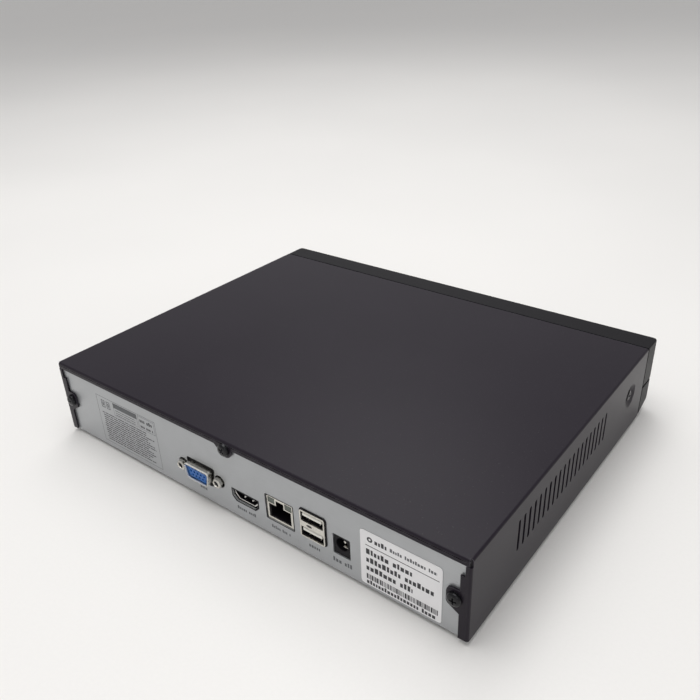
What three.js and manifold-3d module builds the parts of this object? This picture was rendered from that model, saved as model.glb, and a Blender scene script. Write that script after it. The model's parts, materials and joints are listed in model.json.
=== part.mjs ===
// A small network video recorder: a folded steel tray and cover with a moulded front bezel, the main board
// with its row of rear sockets, and a 3.5 inch disk whose platter spins and whose head arm swings.
// Millimetres, +Z up, front towards -Y. The origin is at the bottom centre of the whole object.
import * as THREE from "three";
import { mergeVertices } from "three/addons/utils/BufferGeometryUtils.js";
import Module from "manifold-3d";

const wasm = await Module();
wasm.setup();

// ---------------------------------------------------------------- driving dimensions
const CASE_WIDTH = 255;
const CASE_DEPTH = 203; // rear flange to bezel front
const CASE_HEIGHT = 42;
const FOOT_HEIGHT = 1.5;
const TRAY_LIP = 1; // the tray's floor lies this far below the cover's lower edge
const BEZEL_DEPTH = 15;
const SOCKET_PROUD = 2.4; // how far the video socket stands out of the rear flange
const SHEET = 0.8; // steel of the cover and the tray
const BEND = 0.75; // radius of a fold, at the middle of the sheet
const GAP = 0.3; // clearance between pieces that touch
const BOARD_TOP = 8.6; // component face of the main board above the case bottom
const BOARD_THICK = 1.6;
const DISK = { width: 147, depth: 101.6, height: 26.1 }; // lies across the case
const PAD_HEIGHT = 3; // raised pads under the disk

// ---------------------------------------------------------------- main planes
const halfWidth = CASE_WIDTH / 2;
const frontY = -(CASE_DEPTH + SOCKET_PROUD) / 2;
const rearY = frontY + CASE_DEPTH; // outer face of the cover's rear flanges
const seamY = frontY + BEZEL_DEPTH; // back edge of the bezel
const trayZ = FOOT_HEIGHT; // underside of the tray
const floorZ = trayZ + TRAY_LIP; // lower edge of the cover
const topZ = floorZ + CASE_HEIGHT;
const panelY = rearY - SHEET - GAP; // outer face of the tray's rear wall
const boardZ = floorZ + BOARD_TOP;
const trayHalf = halfWidth - SHEET - 0.5;

// Screw centres on the rear flanges, and on the two sides
const REAR_SCREWS = {
  left: [121, 20],
  middle: [-1.2, 37.8],
  right: [-121.2, 20],
};
const SIDE_SCREW = { y: rearY - 167, z: floorZ + 23.8 };

// Rear sockets: centre x, and the lowest edge, width and height of the hole in the rear wall
const PORTS = {
  hdmi: { x: -9.9, low: 9.2, width: 16, height: 5.7 },
  lan: { x: -31.5, low: 8.8, width: 16.4, height: 13.7 },
  usb: { x: -51.1, low: 9.2, width: 14.4, height: 15.9 },
  dc: { x: -66.3, low: 8.9, width: 9.2, height: 10.9 },
};
const VGA = { x: 19.2, z: floorZ + 15.1, post: 12.5 }; // post: socket centre to each jack post

// ---------------------------------------------------------------- materials
const material = (color, roughness, metalness) =>
  new THREE.MeshStandardMaterial({ color, roughness, metalness });
const blackPaint = material(0x2c2b2f, 0.5, 0.3);
const silverSteel = material(0xa4a5a8, 0.42, 0.7);
const blackPlastic = material(0x1d1c1f, 0.4, 0);
const smokedPlastic = material(0x0d0d10, 0.1, 0);
const blackZinc = material(0x141416, 0.35, 0.8);
const nickel = material(0xc9c6bd, 0.25, 1);
const bluePlastic = material(0x1f57a8, 0.45, 0);
const whitePlastic = material(0xe4e2da, 0.5, 0);
const rubber = material(0x111111, 0.85, 0);
const paper = material(0xd9d9d6, 0.55, 0);
const circuitBoard = material(0x12402a, 0.45, 0);
const aluminium = material(0xb9bcc0, 0.38, 0.9);
const chipPlastic = material(0x18181a, 0.6, 0);
const brass = material(0xc9a95a, 0.35, 1);
const redSleeve = material(0xa31a1c, 0.5, 0);

// ---------------------------------------------------------------- solids
// A closed geometry as a manifold solid. A profile may be drawn either way round.
function solidOf(geometry) {
  geometry.deleteAttribute("normal");
  geometry.deleteAttribute("uv");
  const merged = mergeVertices(geometry, 1e-4);
  const triVerts = new Uint32Array(merged.index.array);
  const vertProperties = merged.attributes.position.array;
  const build = () => new wasm.Manifold(new wasm.Mesh({ numProp: 3, vertProperties, triVerts }));
  const made = build();
  if (made.volume() > 0) return made;
  for (let i = 0; i < triVerts.length; i += 3)
    [triVerts[i + 1], triVerts[i + 2]] = [triVerts[i + 2], triVerts[i + 1]];
  return build();
}

function geometryOf(solid) {
  const { vertProperties, triVerts } = solid.getMesh();
  return new THREE.BufferGeometry()
    .setAttribute("position", new THREE.BufferAttribute(new Float32Array(vertProperties), 3))
    .setIndex(new THREE.BufferAttribute(new Uint32Array(triVerts), 1));
}

const join = (...solids) => solids.reduce((all, next) => all.add(next));
const cut = (body, ...tools) => tools.reduce((left, tool) => left.subtract(tool), body);

function box(x0, x1, y0, y1, z0, z1) {
  const geometry = new THREE.BoxGeometry(x1 - x0, y1 - y0, z1 - z0);
  return solidOf(geometry.translate((x0 + x1) / 2, (y0 + y1) / 2, (z0 + z1) / 2));
}

// Axis swaps that carry a drawing plane and its depth to the object's axes
const swap = (...rows) => new THREE.Matrix4().set(...rows, 0, 0, 0, 1);
const DRAWN_ON_XZ = swap(1, 0, 0, 0, 0, 0, -1, 0, 0, 1, 0, 0);
const DRAWN_ON_YZ = swap(0, 0, 1, 0, 1, 0, 0, 0, 0, 1, 0, 0);

function extruded(shape, depth, segments) {
  return new THREE.ExtrudeGeometry(shape, { depth, bevelEnabled: false, curveSegments: segments });
}
// A shape drawn on (x, y), (x, z) or (y, z), pulled along the third axis between two places
const alongZ = (shape, z0, z1, segments = 4) =>
  solidOf(extruded(shape, z1 - z0, segments).translate(0, 0, z0));
const alongY = (shape, y0, y1, segments = 4) =>
  solidOf(extruded(shape, y1 - y0, segments).applyMatrix4(DRAWN_ON_XZ).translate(0, y1, 0));
const alongX = (shape, x0, x1, segments = 4) =>
  solidOf(extruded(shape, x1 - x0, segments).applyMatrix4(DRAWN_ON_YZ).translate(x0, 0, 0));

// A turned piece about a line through `at`. The profile is [radius, distance along the axis], end to end.
const TURN = {
  x: swap(0, 1, 0, 0, 1, 0, 0, 0, 0, 0, -1, 0),
  y: new THREE.Matrix4(),
  z: swap(1, 0, 0, 0, 0, 0, -1, 0, 0, 1, 0, 0),
};
function turned(axis, at, profile, segments = 20) {
  const points = profile.map(([radius, along]) => new THREE.Vector2(radius, along));
  return solidOf(new THREE.LatheGeometry(points, segments).applyMatrix4(TURN[axis]).translate(...at));
}
const cylinder = (axis, at, radius, from, to, segments) =>
  turned(axis, at, [[0, from], [radius, from], [radius, to], [0, to]], segments);

// An outline through corner points [u, v, radius of that corner]
function outline(corners, radius = 0) {
  const shape = new THREE.Shape();
  corners.forEach(([u, v, r = radius], i) => {
    const corner = new THREE.Vector2(u, v);
    const towards = ([a, b]) => new THREE.Vector2(a, b).sub(corner).setLength(r).add(corner);
    const start = r ? towards(corners.at(i - 1)) : corner;
    if (i) shape.lineTo(start.x, start.y);
    else shape.moveTo(start.x, start.y);
    if (!r) return;
    const end = towards(corners[(i + 1) % corners.length]);
    shape.quadraticCurveTo(u, v, end.x, end.y);
  });
  shape.closePath();
  return shape;
}
const rectangle = (u0, u1, v0, v1, radius) =>
  outline([[u0, v0], [u1, v0], [u1, v1], [u0, v1]], radius);

// The section of a sheet folded square at each inner point of a path, which runs along its middle
function folded(path, thickness = SHEET, bend = BEND, steps = 3) {
  const points = path.map(([u, v]) => new THREE.Vector2(u, v));
  const heading = (i) => points[i + 1].clone().sub(points[i]).normalize();
  const middle = [];
  points.forEach((point, i) => {
    const into = heading(Math.max(i - 1, 0));
    const out = heading(Math.min(i, points.length - 2));
    if (i === 0 || i === points.length - 1) {
      middle.push([point, i ? into : out]);
      return;
    }
    const centre = point.clone().addScaledVector(into, -bend).addScaledVector(out, bend);
    for (let step = 0; step <= steps; step++) {
      const angle = (step / steps) * (Math.PI / 2);
      const at = centre.clone().addScaledVector(out, -bend * Math.cos(angle));
      at.addScaledVector(into, bend * Math.sin(angle));
      const along = into.clone().multiplyScalar(Math.cos(angle)).addScaledVector(out, Math.sin(angle));
      middle.push([at, along]);
    }
  });
  const side = (share) =>
    middle.map(([at, along]) => at.clone().add(new THREE.Vector2(-along.y, along.x).multiplyScalar(share)));
  return new THREE.Shape([...side(thickness / 2), ...side(-thickness / 2).reverse()]);
}

// ---------------------------------------------------------------- assembly
const recorder = new THREE.Group();
function add(name, finish, solid) {
  const mesh = new THREE.Mesh(geometryOf(solid), finish);
  mesh.name = name;
  recorder.add(mesh);
}

// ---------------------------------------------------------------- cover
const FLANGE = { top: 3.5, side: 4.5, reliefHeight: 5.2, reliefWidth: 1.9 };
const TAB = { reach: 10.3, top: 24.7, low: 16.2, foot: 12.7, radius: 4.5, web: 2.2 };
const VENT = { count: 20, pitch: 4.85, first: 38.9, width: 1.9, low: 16.8, high: 33 };
const DIMPLE = { rim: 7, floor: 4, depth: 1.7 };
const SCREW_HOLE = 1.9;
const TAPPED_HOLE = 1.65;

// Vertical vent slots of one side wall, in a row from the rear forwards
function ventSlots(side) {
  return Array.from({ length: VENT.count }, (_, i) => {
    const y = rearY - VENT.first - i * VENT.pitch;
    const half = VENT.width / 2;
    const slot = rectangle(y - half, y + half, floorZ + VENT.low, floorZ + VENT.high, half);
    const x = side * halfWidth;
    return alongX(slot, x - 2, x + 2, 2);
  });
}

// The rear flange of one side, with the tab that takes its screw
function sideFlange(side) {
  const wall = side * (halfWidth - SHEET / 2);
  const inner = side * (halfWidth - FLANGE.side);
  const y = rearY - SHEET / 2;
  const high = topZ - FLANGE.top - 0.4;
  const strip = alongZ(folded([[wall, y - 6], [wall, y], [inner, y]]), floorZ, high);
  const reach = side * (halfWidth - TAB.reach);
  const root = inner + side * 0.5;
  const corners = [
    [root, floorZ + TAB.top],
    [reach, floorZ + TAB.top, 3],
    [reach, floorZ + TAB.low, 1.4],
    [inner, floorZ + TAB.foot],
    [root, floorZ + TAB.foot],
  ];
  const tab = alongY(outline(corners), rearY - SHEET, rearY);
  const [a, b] = [inner, inner + side * FLANGE.reliefWidth].sort((m, n) => m - n);
  const relief = box(a - 0.1, b, rearY - 2, rearY + 1, high - FLANGE.reliefHeight, high + 1);
  const [x, z] = side > 0 ? REAR_SCREWS.left : REAR_SCREWS.right;
  const hole = cylinder("y", [x, rearY, floorZ + z], SCREW_HOLE, -2, 1, 16);
  return cut(join(strip, tab), relief, hole);
}

// The pressed dimple of one side screw: [what is added inside the wall, what is cut out of it]
function screwDimple(side) {
  const outer = side * halfWidth;
  const profile = (extra, depth) => [
    [0, outer + side * 0.5],
    [DIMPLE.rim + extra, outer + side * 0.5],
    [DIMPLE.rim + extra, outer],
    [DIMPLE.floor + extra, outer - side * depth],
    [0, outer - side * depth],
  ];
  const at = [0, SIDE_SCREW.y, SIDE_SCREW.z];
  const skin = cut(
    turned("x", at, profile(SHEET, DIMPLE.depth + SHEET), 24),
    box(...[outer, outer + side].sort((m, n) => m - n), at[1] - 9, at[1] + 9, at[2] - 9, at[2] + 9),
  );
  const recess = turned("x", at, profile(0, DIMPLE.depth), 24);
  const hole = cylinder("x", at, SCREW_HOLE, outer - side * 6, outer, 16);
  return [skin, join(recess, hole)];
}

function topCover() {
  const wall = halfWidth - SHEET / 2;
  const roof = topZ - SHEET / 2;
  const channel = alongY(
    folded([[-wall, floorZ], [-wall, roof], [wall, roof], [wall, floorZ]]),
    seamY,
    rearY - BEND - SHEET / 2,
  );
  const y = rearY - SHEET / 2;
  const rearFold = alongX(
    folded([[y - 8, roof], [y, roof], [y, topZ - FLANGE.top]]),
    -halfWidth + BEND + SHEET / 2,
    halfWidth - BEND - SHEET / 2,
  );
  const [x, z] = REAR_SCREWS.middle;
  const tabTop = topZ - FLANGE.top + 0.5;
  const web = outline([
    [x, floorZ + z - 1.6],
    [x + TAB.radius - 0.3, floorZ + z - 1.6],
    [x + TAB.radius + TAB.web, topZ - FLANGE.top],
    [x + TAB.radius + TAB.web, tabTop],
    [x, tabTop],
  ]);
  const ear = join(
    cylinder("y", [x, rearY, floorZ + z], TAB.radius, -SHEET, 0, 24),
    box(x - TAB.radius, x + TAB.radius, rearY - SHEET, rearY, floorZ + z, tabTop),
    alongY(web, rearY - SHEET, rearY),
  );
  const middleTab = cut(ear, box(x - 9, x + 9, rearY - 2, rearY + 1, topZ - 1, topZ + 3));
  const dimples = [1, -1].map(screwDimple);
  const skins = dimples.map(([skin]) => skin);
  const sheet = join(channel, rearFold, middleTab, sideFlange(1), sideFlange(-1), ...skins);
  return cut(
    sheet,
    ...dimples.map(([, recess]) => recess),
    cylinder("y", [x, rearY, floorZ + z], SCREW_HOLE, -3, 1, 16),
    ...ventSlots(1),
    ...ventSlots(-1),
  );
}
add("top_cover", blackPaint, topCover());

// ---------------------------------------------------------------- cover screws
const SCREW = { head: 3.2, headHeight: 2, shank: 1.5, length: 6 };

// A pan-headed screw along an axis, its head resting at `seat` and pointing the way of `facing`
function panScrew(axis, at, seat, facing, { head, headHeight, shank, length } = SCREW) {
  const along = (distance) => seat + facing * distance;
  return turned(axis, at, [
    [0, along(-length)],
    [shank, along(-length)],
    [shank, along(0)],
    [head, along(0)],
    [head, along(headHeight * 0.45)],
    [head * 0.78, along(headHeight * 0.85)],
    [head * 0.4, along(headHeight)],
    [0, along(headHeight)],
  ], 16);
}
for (const [place, [x, z]] of Object.entries(REAR_SCREWS))
  add(`cover_screw_rear_${place}`, blackZinc, panScrew("y", [x, 0, floorZ + z], rearY + 0.05, 1));

const EAR = { back: 8, low: 8, high: 36, thick: SHEET };
const dimpleInner = halfWidth - DIMPLE.depth - SHEET; // inner face of the pressed dimple
const earOuter = dimpleInner - GAP;
const SIDE_SCREW_SIZE = { head: 3, headHeight: 1.5, shank: 1.5, length: 2.6 };
for (const [place, side] of [["left", 1], ["right", -1]]) {
  const at = [0, SIDE_SCREW.y, SIDE_SCREW.z];
  const seat = side * (halfWidth - DIMPLE.depth + 0.05);
  add(`cover_screw_side_${place}`, blackZinc, panScrew("x", at, seat, side, SIDE_SCREW_SIZE));
}

// ---------------------------------------------------------------- tray
const frontWallY = seamY + GAP + SHEET; // middle of the front wall
const FRONT_WALL_TOP = 36;
const HOOK = { places: [-95, -32, 32, 95], half: 5, low: 31.6, high: 33.4 };
const FOOT = { radius: 7, x: 108, front: seamY + 18, rear: rearY - 22 };
const POST_HOLE = 3.4;

const portHole = ({ x, low, width, height }, radius) =>
  alongY(
    rectangle(x - width / 2, x + width / 2, floorZ + low, floorZ + low + height, radius),
    panelY - 3,
    panelY + 2,
    2,
  );

// A D-shaped outline about the video socket's centre, its long side up
function dShape(width, height, radius) {
  const lean = height * Math.tan(THREE.MathUtils.degToRad(10));
  const { x, z } = VGA;
  const corners = [
    [x - width / 2 + lean, z - height / 2],
    [x + width / 2 - lean, z - height / 2],
    [x + width / 2, z + height / 2],
    [x - width / 2, z + height / 2],
  ];
  return outline(corners, radius);
}

// The hole and the shell of the high definition socket share a shape with its lower corners cut off
function hdmiShape(grow) {
  const { x, low, width, height } = PORTS.hdmi;
  const [left, right] = [x - width / 2 - grow, x + width / 2 + grow];
  const [bottom, top] = [floorZ + low - grow, floorZ + low + height + grow];
  const corner = 2.4;
  return outline([
    [left + corner, bottom],
    [right - corner, bottom],
    [right, bottom + corner],
    [right, top],
    [left, top],
    [left, bottom + corner],
  ], 0.4);
}

// Disk screw centres: the standard bottom pattern of a 3.5 inch drive
const diskX0 = -58;
const diskX1 = diskX0 + DISK.width;
const diskY1 = rearY - 79.9;
const diskY0 = diskY1 - DISK.depth;
const diskMidY = (diskY0 + diskY1) / 2;
const diskZ0 = trayZ + SHEET + PAD_HEIGHT + 0.1;
const DISK_HOLES = [41.28, 85.73].flatMap((along) =>
  [-1, 1].map((side) => [diskX0 + along, diskMidY + side * 47.625]));

// A round pad pressed up out of the floor: [what is added, what is cut]
function floorPad([x, y]) {
  const high = trayZ + SHEET + PAD_HEIGHT;
  const solid = turned("z", [x, y, 0], [[0, trayZ], [7, trayZ], [5.6, high], [0, high]], 20);
  const under = high - SHEET;
  const profile = [[0, trayZ - 1], [6.4, trayZ - 1], [6, trayZ], [4.6, under], [0, under]];
  const hollow = turned("z", [x, y, 0], profile, 20);
  return [solid, join(hollow, cylinder("z", [x, y, 0], 2.1, trayZ, high + 1, 16))];
}

// Board fixing centres
const BOARD = { x0: -77, x1: 37, y0: rearY - 77, y1: rearY - 3.4 };
const BOARD_HOLES = [BOARD.y0 + 5, BOARD.y1 - 23].flatMap((y) => [[-72.5, y], [32.5, y]]);

function chassisTray() {
  const y = panelY - SHEET / 2;
  const roof = topZ - SHEET - 0.5 - SHEET / 2;
  const floor = trayZ + SHEET / 2;
  const section = folded([
    [frontWallY, floorZ + FRONT_WALL_TOP],
    [frontWallY, floor],
    [y, floor],
    [y, roof],
    [y - 7, roof],
  ]);
  const shell = alongX(section, -trayHalf, trayHalf);
  const pads = DISK_HOLES.map(floorPad);
  const ears = [1, -1].map((side) => {
    const corners = [
      [frontWallY, floorZ + EAR.low],
      [SIDE_SCREW.y + EAR.back, floorZ + EAR.low, 3],
      [SIDE_SCREW.y + EAR.back, floorZ + EAR.high, 3],
      [frontWallY, floorZ + EAR.high],
    ];
    const [x0, x1] = [side * (earOuter - EAR.thick), side * earOuter].sort((m, n) => m - n);
    const slot = rectangle(SIDE_SCREW.y - 1.9, SIDE_SCREW.y + 20, SIDE_SCREW.z - 1.9, SIDE_SCREW.z + 1.9);
    return cut(alongX(outline(corners), x0, x1), alongX(slot, x0 - 1, x1 + 1));
  });
  const between = (side, from, to, ...rest) =>
    box(...[side * from, side * to].sort((m, n) => m - n), ...rest);
  // The cover's side dimples and screws pass beside these cuts as the cover draws off
  const sideCuts = [1, -1].flatMap((side) => [
    between(side, earOuter, trayHalf + 1, frontWallY - 2, frontWallY + 2, floorZ + 4, topZ),
    between(side, halfWidth - FLANGE.side, trayHalf + 1, panelY - 3, panelY + 2,
      SIDE_SCREW.z - 7.5, SIDE_SCREW.z + 7.5),
  ]);
  const hooks = HOOK.places.map((x) =>
    box(x - HOOK.half - 0.5, x + HOOK.half + 0.5, frontWallY - 2, frontWallY + 2,
      floorZ + HOOK.low - 0.4, floorZ + HOOK.high + 1.2));
  const rearHoles = Object.values(REAR_SCREWS).map(([x, z]) =>
    cylinder("y", [x, panelY, floorZ + z], TAPPED_HOLE, -3, 2, 16));
  const postHoles = [-1, 1].map((side) =>
    cylinder("y", [VGA.x + side * VGA.post, panelY, VGA.z], POST_HOLE, -3, 2, 20));
  const standoffHoles = BOARD_HOLES.map(([x, y0]) =>
    cylinder("z", [x, y0, 0], 1.7, trayZ - 1, trayZ + 2, 12));
  const cableHole = box(-110, -86, frontWallY - 2, frontWallY + 2, floorZ + 8, floorZ + 20);
  return cut(
    join(shell, ...ears, ...pads.map(([solid]) => solid)),
    ...pads.map(([, hollow]) => hollow),
    ...hooks,
    ...rearHoles,
    ...postHoles,
    ...standoffHoles,
    ...sideCuts,
    cableHole,
    alongY(dShape(19.6, 11.4, 1.6), panelY - 3, panelY + 2),
    alongY(hdmiShape(0), panelY - 3, panelY + 2),
    portHole(PORTS.lan, 0.4),
    portHole(PORTS.usb, 1.6),
    portHole(PORTS.dc, 0.5),
  );
}
add("chassis_tray", silverSteel, chassisTray());

for (const [end, y] of [["front", FOOT.front], ["rear", FOOT.rear]])
  for (const [hand, x] of [["left", FOOT.x], ["right", -FOOT.x]]) {
    const under = trayZ - 0.05;
    const profile = [[0, 0], [FOOT.radius - 0.6, 0], [FOOT.radius, 0.5], [FOOT.radius, under], [0, under]];
    add(`foot_${end}_${hand}`, rubber, turned("z", [x, y, 0], profile, 24));
  }

// ---------------------------------------------------------------- front bezel
const BEZEL_WALL = 2.2;
const BEZEL_CORNER = 2.6; // radius of the two upright front corners
const GROOVE = { z: floorZ + 17.6, height: 1.3, depth: 1.5 };
const LENS = { x0: -112, x1: -58, low: 6.6, high: 14.8, thick: 1.6 };
const CHIN = { front: 5, back: 0.3 }; // height of the sloping underside at its two ends

// The plan of the bezel, inset from its outer faces and square at the back
function bezelPlan(inset, back) {
  const radius = Math.max(BEZEL_CORNER - inset, 0.8);
  return outline([
    [halfWidth - inset, back],
    [-halfWidth + inset, back],
    [-halfWidth + inset, frontY + inset, radius],
    [halfWidth - inset, frontY + inset, radius],
  ]);
}

function frontBezel() {
  const back = seamY - 0.4;
  const edge = 0.8; // rounding of the upper and lower edges
  const [low, high] = [floorZ, topZ - 0.15];
  const rounded = new THREE.ExtrudeGeometry(bezelPlan(edge, back + 4), {
    depth: high - low - 2 * edge,
    bevelThickness: edge,
    bevelSize: edge,
    bevelSegments: 2,
    curveSegments: 4,
  });
  const block = solidOf(rounded.translate(0, 0, low + edge));
  const trimmed = cut(block, box(-200, 200, back, back + 20, low - 5, high + 5));
  const chin = (lift, reach) => {
    const [y0, y1] = [frontY + 1.4, seamY];
    return alongX(outline([
      [y0 - 3, low + CHIN.front + lift],
      [y0, low + CHIN.front + lift],
      [y1, low + CHIN.back + lift],
      [y1, low - 5],
      [y0 - 3, low - 5],
    ]), -reach, reach);
  };
  const hollow = cut(
    alongZ(bezelPlan(BEZEL_WALL, back + 1), low + BEZEL_WALL, high - BEZEL_WALL),
    chin(BEZEL_WALL, 200),
  );
  const ring = cut(
    box(-200, 200, frontY - 5, back + 1, GROOVE.z - GROOVE.height / 2, GROOVE.z + GROOVE.height / 2),
    alongZ(bezelPlan(GROOVE.depth, back + 2), GROOVE.z - 2, GROOVE.z + 2),
  );
  const [lensLow, lensHigh] = [floorZ + LENS.low, floorZ + LENS.high];
  const seat = box(LENS.x0, LENS.x1, frontY - 1, frontY + LENS.thick, lensLow, lensHigh);
  const window = box(LENS.x0 + 2, LENS.x1 - 2, frontY - 1, frontY + 4, lensLow + 1.6, lensHigh - 1.6);
  const hooks = HOOK.places.map((x) => {
    const [z0, z1] = [floorZ + HOOK.low, floorZ + HOOK.high];
    const tip = frontWallY + SHEET / 2 + 0.5;
    const arm = box(x - HOOK.half, x + HOOK.half, frontY + 1, tip + 1.8, z0, z1);
    const barb = box(x - HOOK.half, x + HOOK.half, tip, tip + 1.8, z0, z1 + 1);
    return join(arm, barb);
  });
  return join(cut(trimmed, chin(0, 200), hollow, ring, seat, window), ...hooks);
}
add("front_bezel", blackPlastic, frontBezel());

const lensBox = (fit) =>
  box(LENS.x0 + fit, LENS.x1 - fit, frontY + 0.1, frontY + LENS.thick - 0.1,
    floorZ + LENS.low + fit, floorZ + LENS.high - fit);
add("front_lens", smokedPlastic, lensBox(0.15));

// The small board behind the lens, which carries the lights and the remote control's receiver
const INDICATOR = { x0: -114, x1: -56, low: 5.6, high: 17 };
add("indicator_board", circuitBoard,
  box(INDICATOR.x0, INDICATOR.x1, frontY + 8.2, frontY + 9.6,
    floorZ + INDICATOR.low, floorZ + INDICATOR.high));

// ---------------------------------------------------------------- rating label
const LABEL = { x: -95.8, z: floorZ + 15.9, width: 38.7, height: 29.2 };
add("rating_label", paper, alongY(
  rectangle(LABEL.x - LABEL.width / 2, LABEL.x + LABEL.width / 2,
    LABEL.z - LABEL.height / 2, LABEL.z + LABEL.height / 2, 1.5),
  panelY + 0.05,
  panelY + 0.2,
  2,
));

// ---------------------------------------------------------------- main board and its fixings
add("main_board", circuitBoard, cut(
  alongZ(rectangle(BOARD.x0, BOARD.x1, BOARD.y0, BOARD.y1, 1), boardZ - BOARD_THICK, boardZ, 1),
  ...BOARD_HOLES.map(([x, y]) => cylinder("z", [x, y, 0], 1.7, boardZ - 3, boardZ + 1, 12)),
));

BOARD_HOLES.forEach(([x, y], i) => {
  const [low, high] = [trayZ + SHEET + 0.1, boardZ - BOARD_THICK - 0.1];
  const hexagon = cylinder("z", [x, y, 0], 2.9, low, high, 6);
  const stud = cylinder("z", [x, y, 0], 1.5, trayZ + 0.1, low + 1, 12);
  const bore = cylinder("z", [x, y, 0], 1.65, low + 2, high + 1, 12);
  add(`board_standoff_${i + 1}`, brass, cut(join(hexagon, stud), bore));
  const size = { head: 2.9, headHeight: 1.8, shank: 1.5, length: 5.5 };
  add(`board_screw_${i + 1}`, nickel, panScrew("z", [x, y, 0], boardZ + 0.05, 1, size));
});

// ---------------------------------------------------------------- parts on the board
const PROCESSOR = { x: -20, y: rearY - 45, half: 10, height: 1.4 };
const SINK = { half: 19, base: 2.5, fins: 9, finHeight: 11, finThick: 1.4 };
const HEADER = { x: -44, y: rearY - 71, half: 6.2, depth: 2.9, height: 7 };
const DATA_SOCKET = { x: -62, y: rearY - 66, half: 7, depth: 2.4, height: 8.4 };

add("processor", chipPlastic, box(
  PROCESSOR.x - PROCESSOR.half, PROCESSOR.x + PROCESSOR.half,
  PROCESSOR.y - PROCESSOR.half, PROCESSOR.y + PROCESSOR.half,
  boardZ + 0.1, boardZ + PROCESSOR.height,
));

function heatSink() {
  const { x, y } = PROCESSOR;
  const low = boardZ + PROCESSOR.height + 0.1;
  const plate = box(x - SINK.half, x + SINK.half, y - SINK.half, y + SINK.half, low, low + SINK.base);
  const pitch = (2 * SINK.half - SINK.finThick) / (SINK.fins - 1);
  const fins = Array.from({ length: SINK.fins }, (_, i) => {
    const left = x - SINK.half + i * pitch;
    return box(left, left + SINK.finThick, y - SINK.half, y + SINK.half,
      low + 1, low + SINK.base + SINK.finHeight);
  });
  return join(plate, ...fins);
}
add("heat_sink", aluminium, heatSink());

// A coin cell in its open holder keeps the clock
const CELL = { x: 20, y: rearY - 52, radius: 10, height: 3.2 };
add("battery_holder", blackPlastic, cut(
  join(
    cylinder("z", [CELL.x, CELL.y, 0], 12, boardZ + 0.1, boardZ + 4.8, 28),
    box(CELL.x - 4, CELL.x + 4, CELL.y - 14, CELL.y + 14, boardZ + 0.1, boardZ + 2),
  ),
  cylinder("z", [CELL.x, CELL.y, 0], CELL.radius + 0.3, boardZ + 1.4, boardZ + 9, 28),
  box(CELL.x - 6, CELL.x + 6, CELL.y + 6, CELL.y + 20, boardZ + 2.2, boardZ + 9),
));
add("clock_battery", nickel, turned("z", [CELL.x, CELL.y, boardZ + 1.6], [
  [0, 0],
  [CELL.radius - 1.4, 0],
  [CELL.radius, 0.8],
  [CELL.radius, CELL.height],
  [0, CELL.height],
], 28));

const BUZZER = { x: -66, y: rearY - 38, radius: 6, height: 9.5 };
add("buzzer", blackPlastic, cut(
  cylinder("z", [BUZZER.x, BUZZER.y, boardZ], BUZZER.radius, 0.1, BUZZER.height, 24),
  cylinder("z", [BUZZER.x, BUZZER.y, boardZ], 1.2, BUZZER.height - 2, BUZZER.height + 1, 12),
));

function socketBox({ x, y, half, depth, height }, wall) {
  const outer = box(x - half, x + half, y - depth, y + depth, boardZ + 0.1, boardZ + height);
  return cut(outer, box(x - half + wall, x + half - wall, y - depth + wall, y + depth - wall,
    boardZ + 2, boardZ + height + 1));
}
add("disk_power_header", whitePlastic, socketBox(HEADER, 0.8));
add("disk_data_socket", chipPlastic, socketBox(DATA_SOCKET, 0.9));

// ---------------------------------------------------------------- video socket
const flangeFaceY = panelY - SHEET - 0.6; // front of the black moulding, behind the rear wall
const shellTip = rearY + SOCKET_PROUD;
add("vga_housing", blackPlastic, join(
  cut(
    box(VGA.x - 15.4, VGA.x + 15.4, flangeFaceY - 2, flangeFaceY, VGA.z - 6.2, VGA.z + 6.2),
    alongY(dShape(16.4, 8, 1.8), flangeFaceY - 1.4, flangeFaceY + 1),
    ...[-1, 1].map((side) => cylinder("y", [VGA.x + side * VGA.post, flangeFaceY, VGA.z], 1.6, -3, 1, 16)),
  ),
  box(VGA.x - 9.5, VGA.x + 9.5, flangeFaceY - 13, flangeFaceY - 2, boardZ + 0.1, VGA.z + 5.2),
));
add("vga_shell", nickel, cut(
  join(
    alongY(dShape(16.9, 8.4, 2), flangeFaceY + 0.1, shellTip),
    alongY(dShape(18.6, 10.2, 2.4), flangeFaceY + 0.1, flangeFaceY + 0.5),
  ),
  alongY(dShape(16.1, 7.6, 1.7), flangeFaceY - 1, shellTip + 1),
));
add("vga_insert", bluePlastic, alongY(dShape(15.5, 7, 1.4), flangeFaceY - 1.2, shellTip - 1.4));

// Hexagonal posts that a plug's own screws go into
const JACK_THREAD = 1.25;
for (const [place, side] of [["left", 1], ["right", -1]]) {
  const at = [VGA.x + side * VGA.post, 0, VGA.z];
  const [base, tip] = [flangeFaceY + 0.1, shellTip - 1];
  add(`vga_post_${place}`, nickel, cut(
    join(
      cylinder("y", at, 2.7, base, tip, 6),
      cylinder("y", at, 1.4, base - 1.8, base + 0.2, 12),
    ),
    cylinder("y", at, JACK_THREAD, tip - 4, tip + 1, 24),
  ));
}

// ---------------------------------------------------------------- high definition socket
const hdmiFront = panelY - 1.4;
const hdmiBack = hdmiFront - 11.5;
add("hdmi_shell", nickel, cut(
  alongY(hdmiShape(-0.5), hdmiBack, hdmiFront),
  alongY(hdmiShape(-0.95), hdmiBack + 0.5, hdmiFront + 1),
));
add("hdmi_tongue", blackPlastic, (() => {
  const { x, low, height } = PORTS.hdmi;
  const z = floorZ + low + height / 2 + 0.35;
  const tongue = box(x - 5.4, x + 5.4, hdmiBack + 3, hdmiFront - 1.2, z - 0.6, z + 0.6);
  const root = alongY(hdmiShape(-1.15), hdmiBack + 0.8, hdmiBack + 3.4);
  return join(tongue, root);
})());

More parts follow.
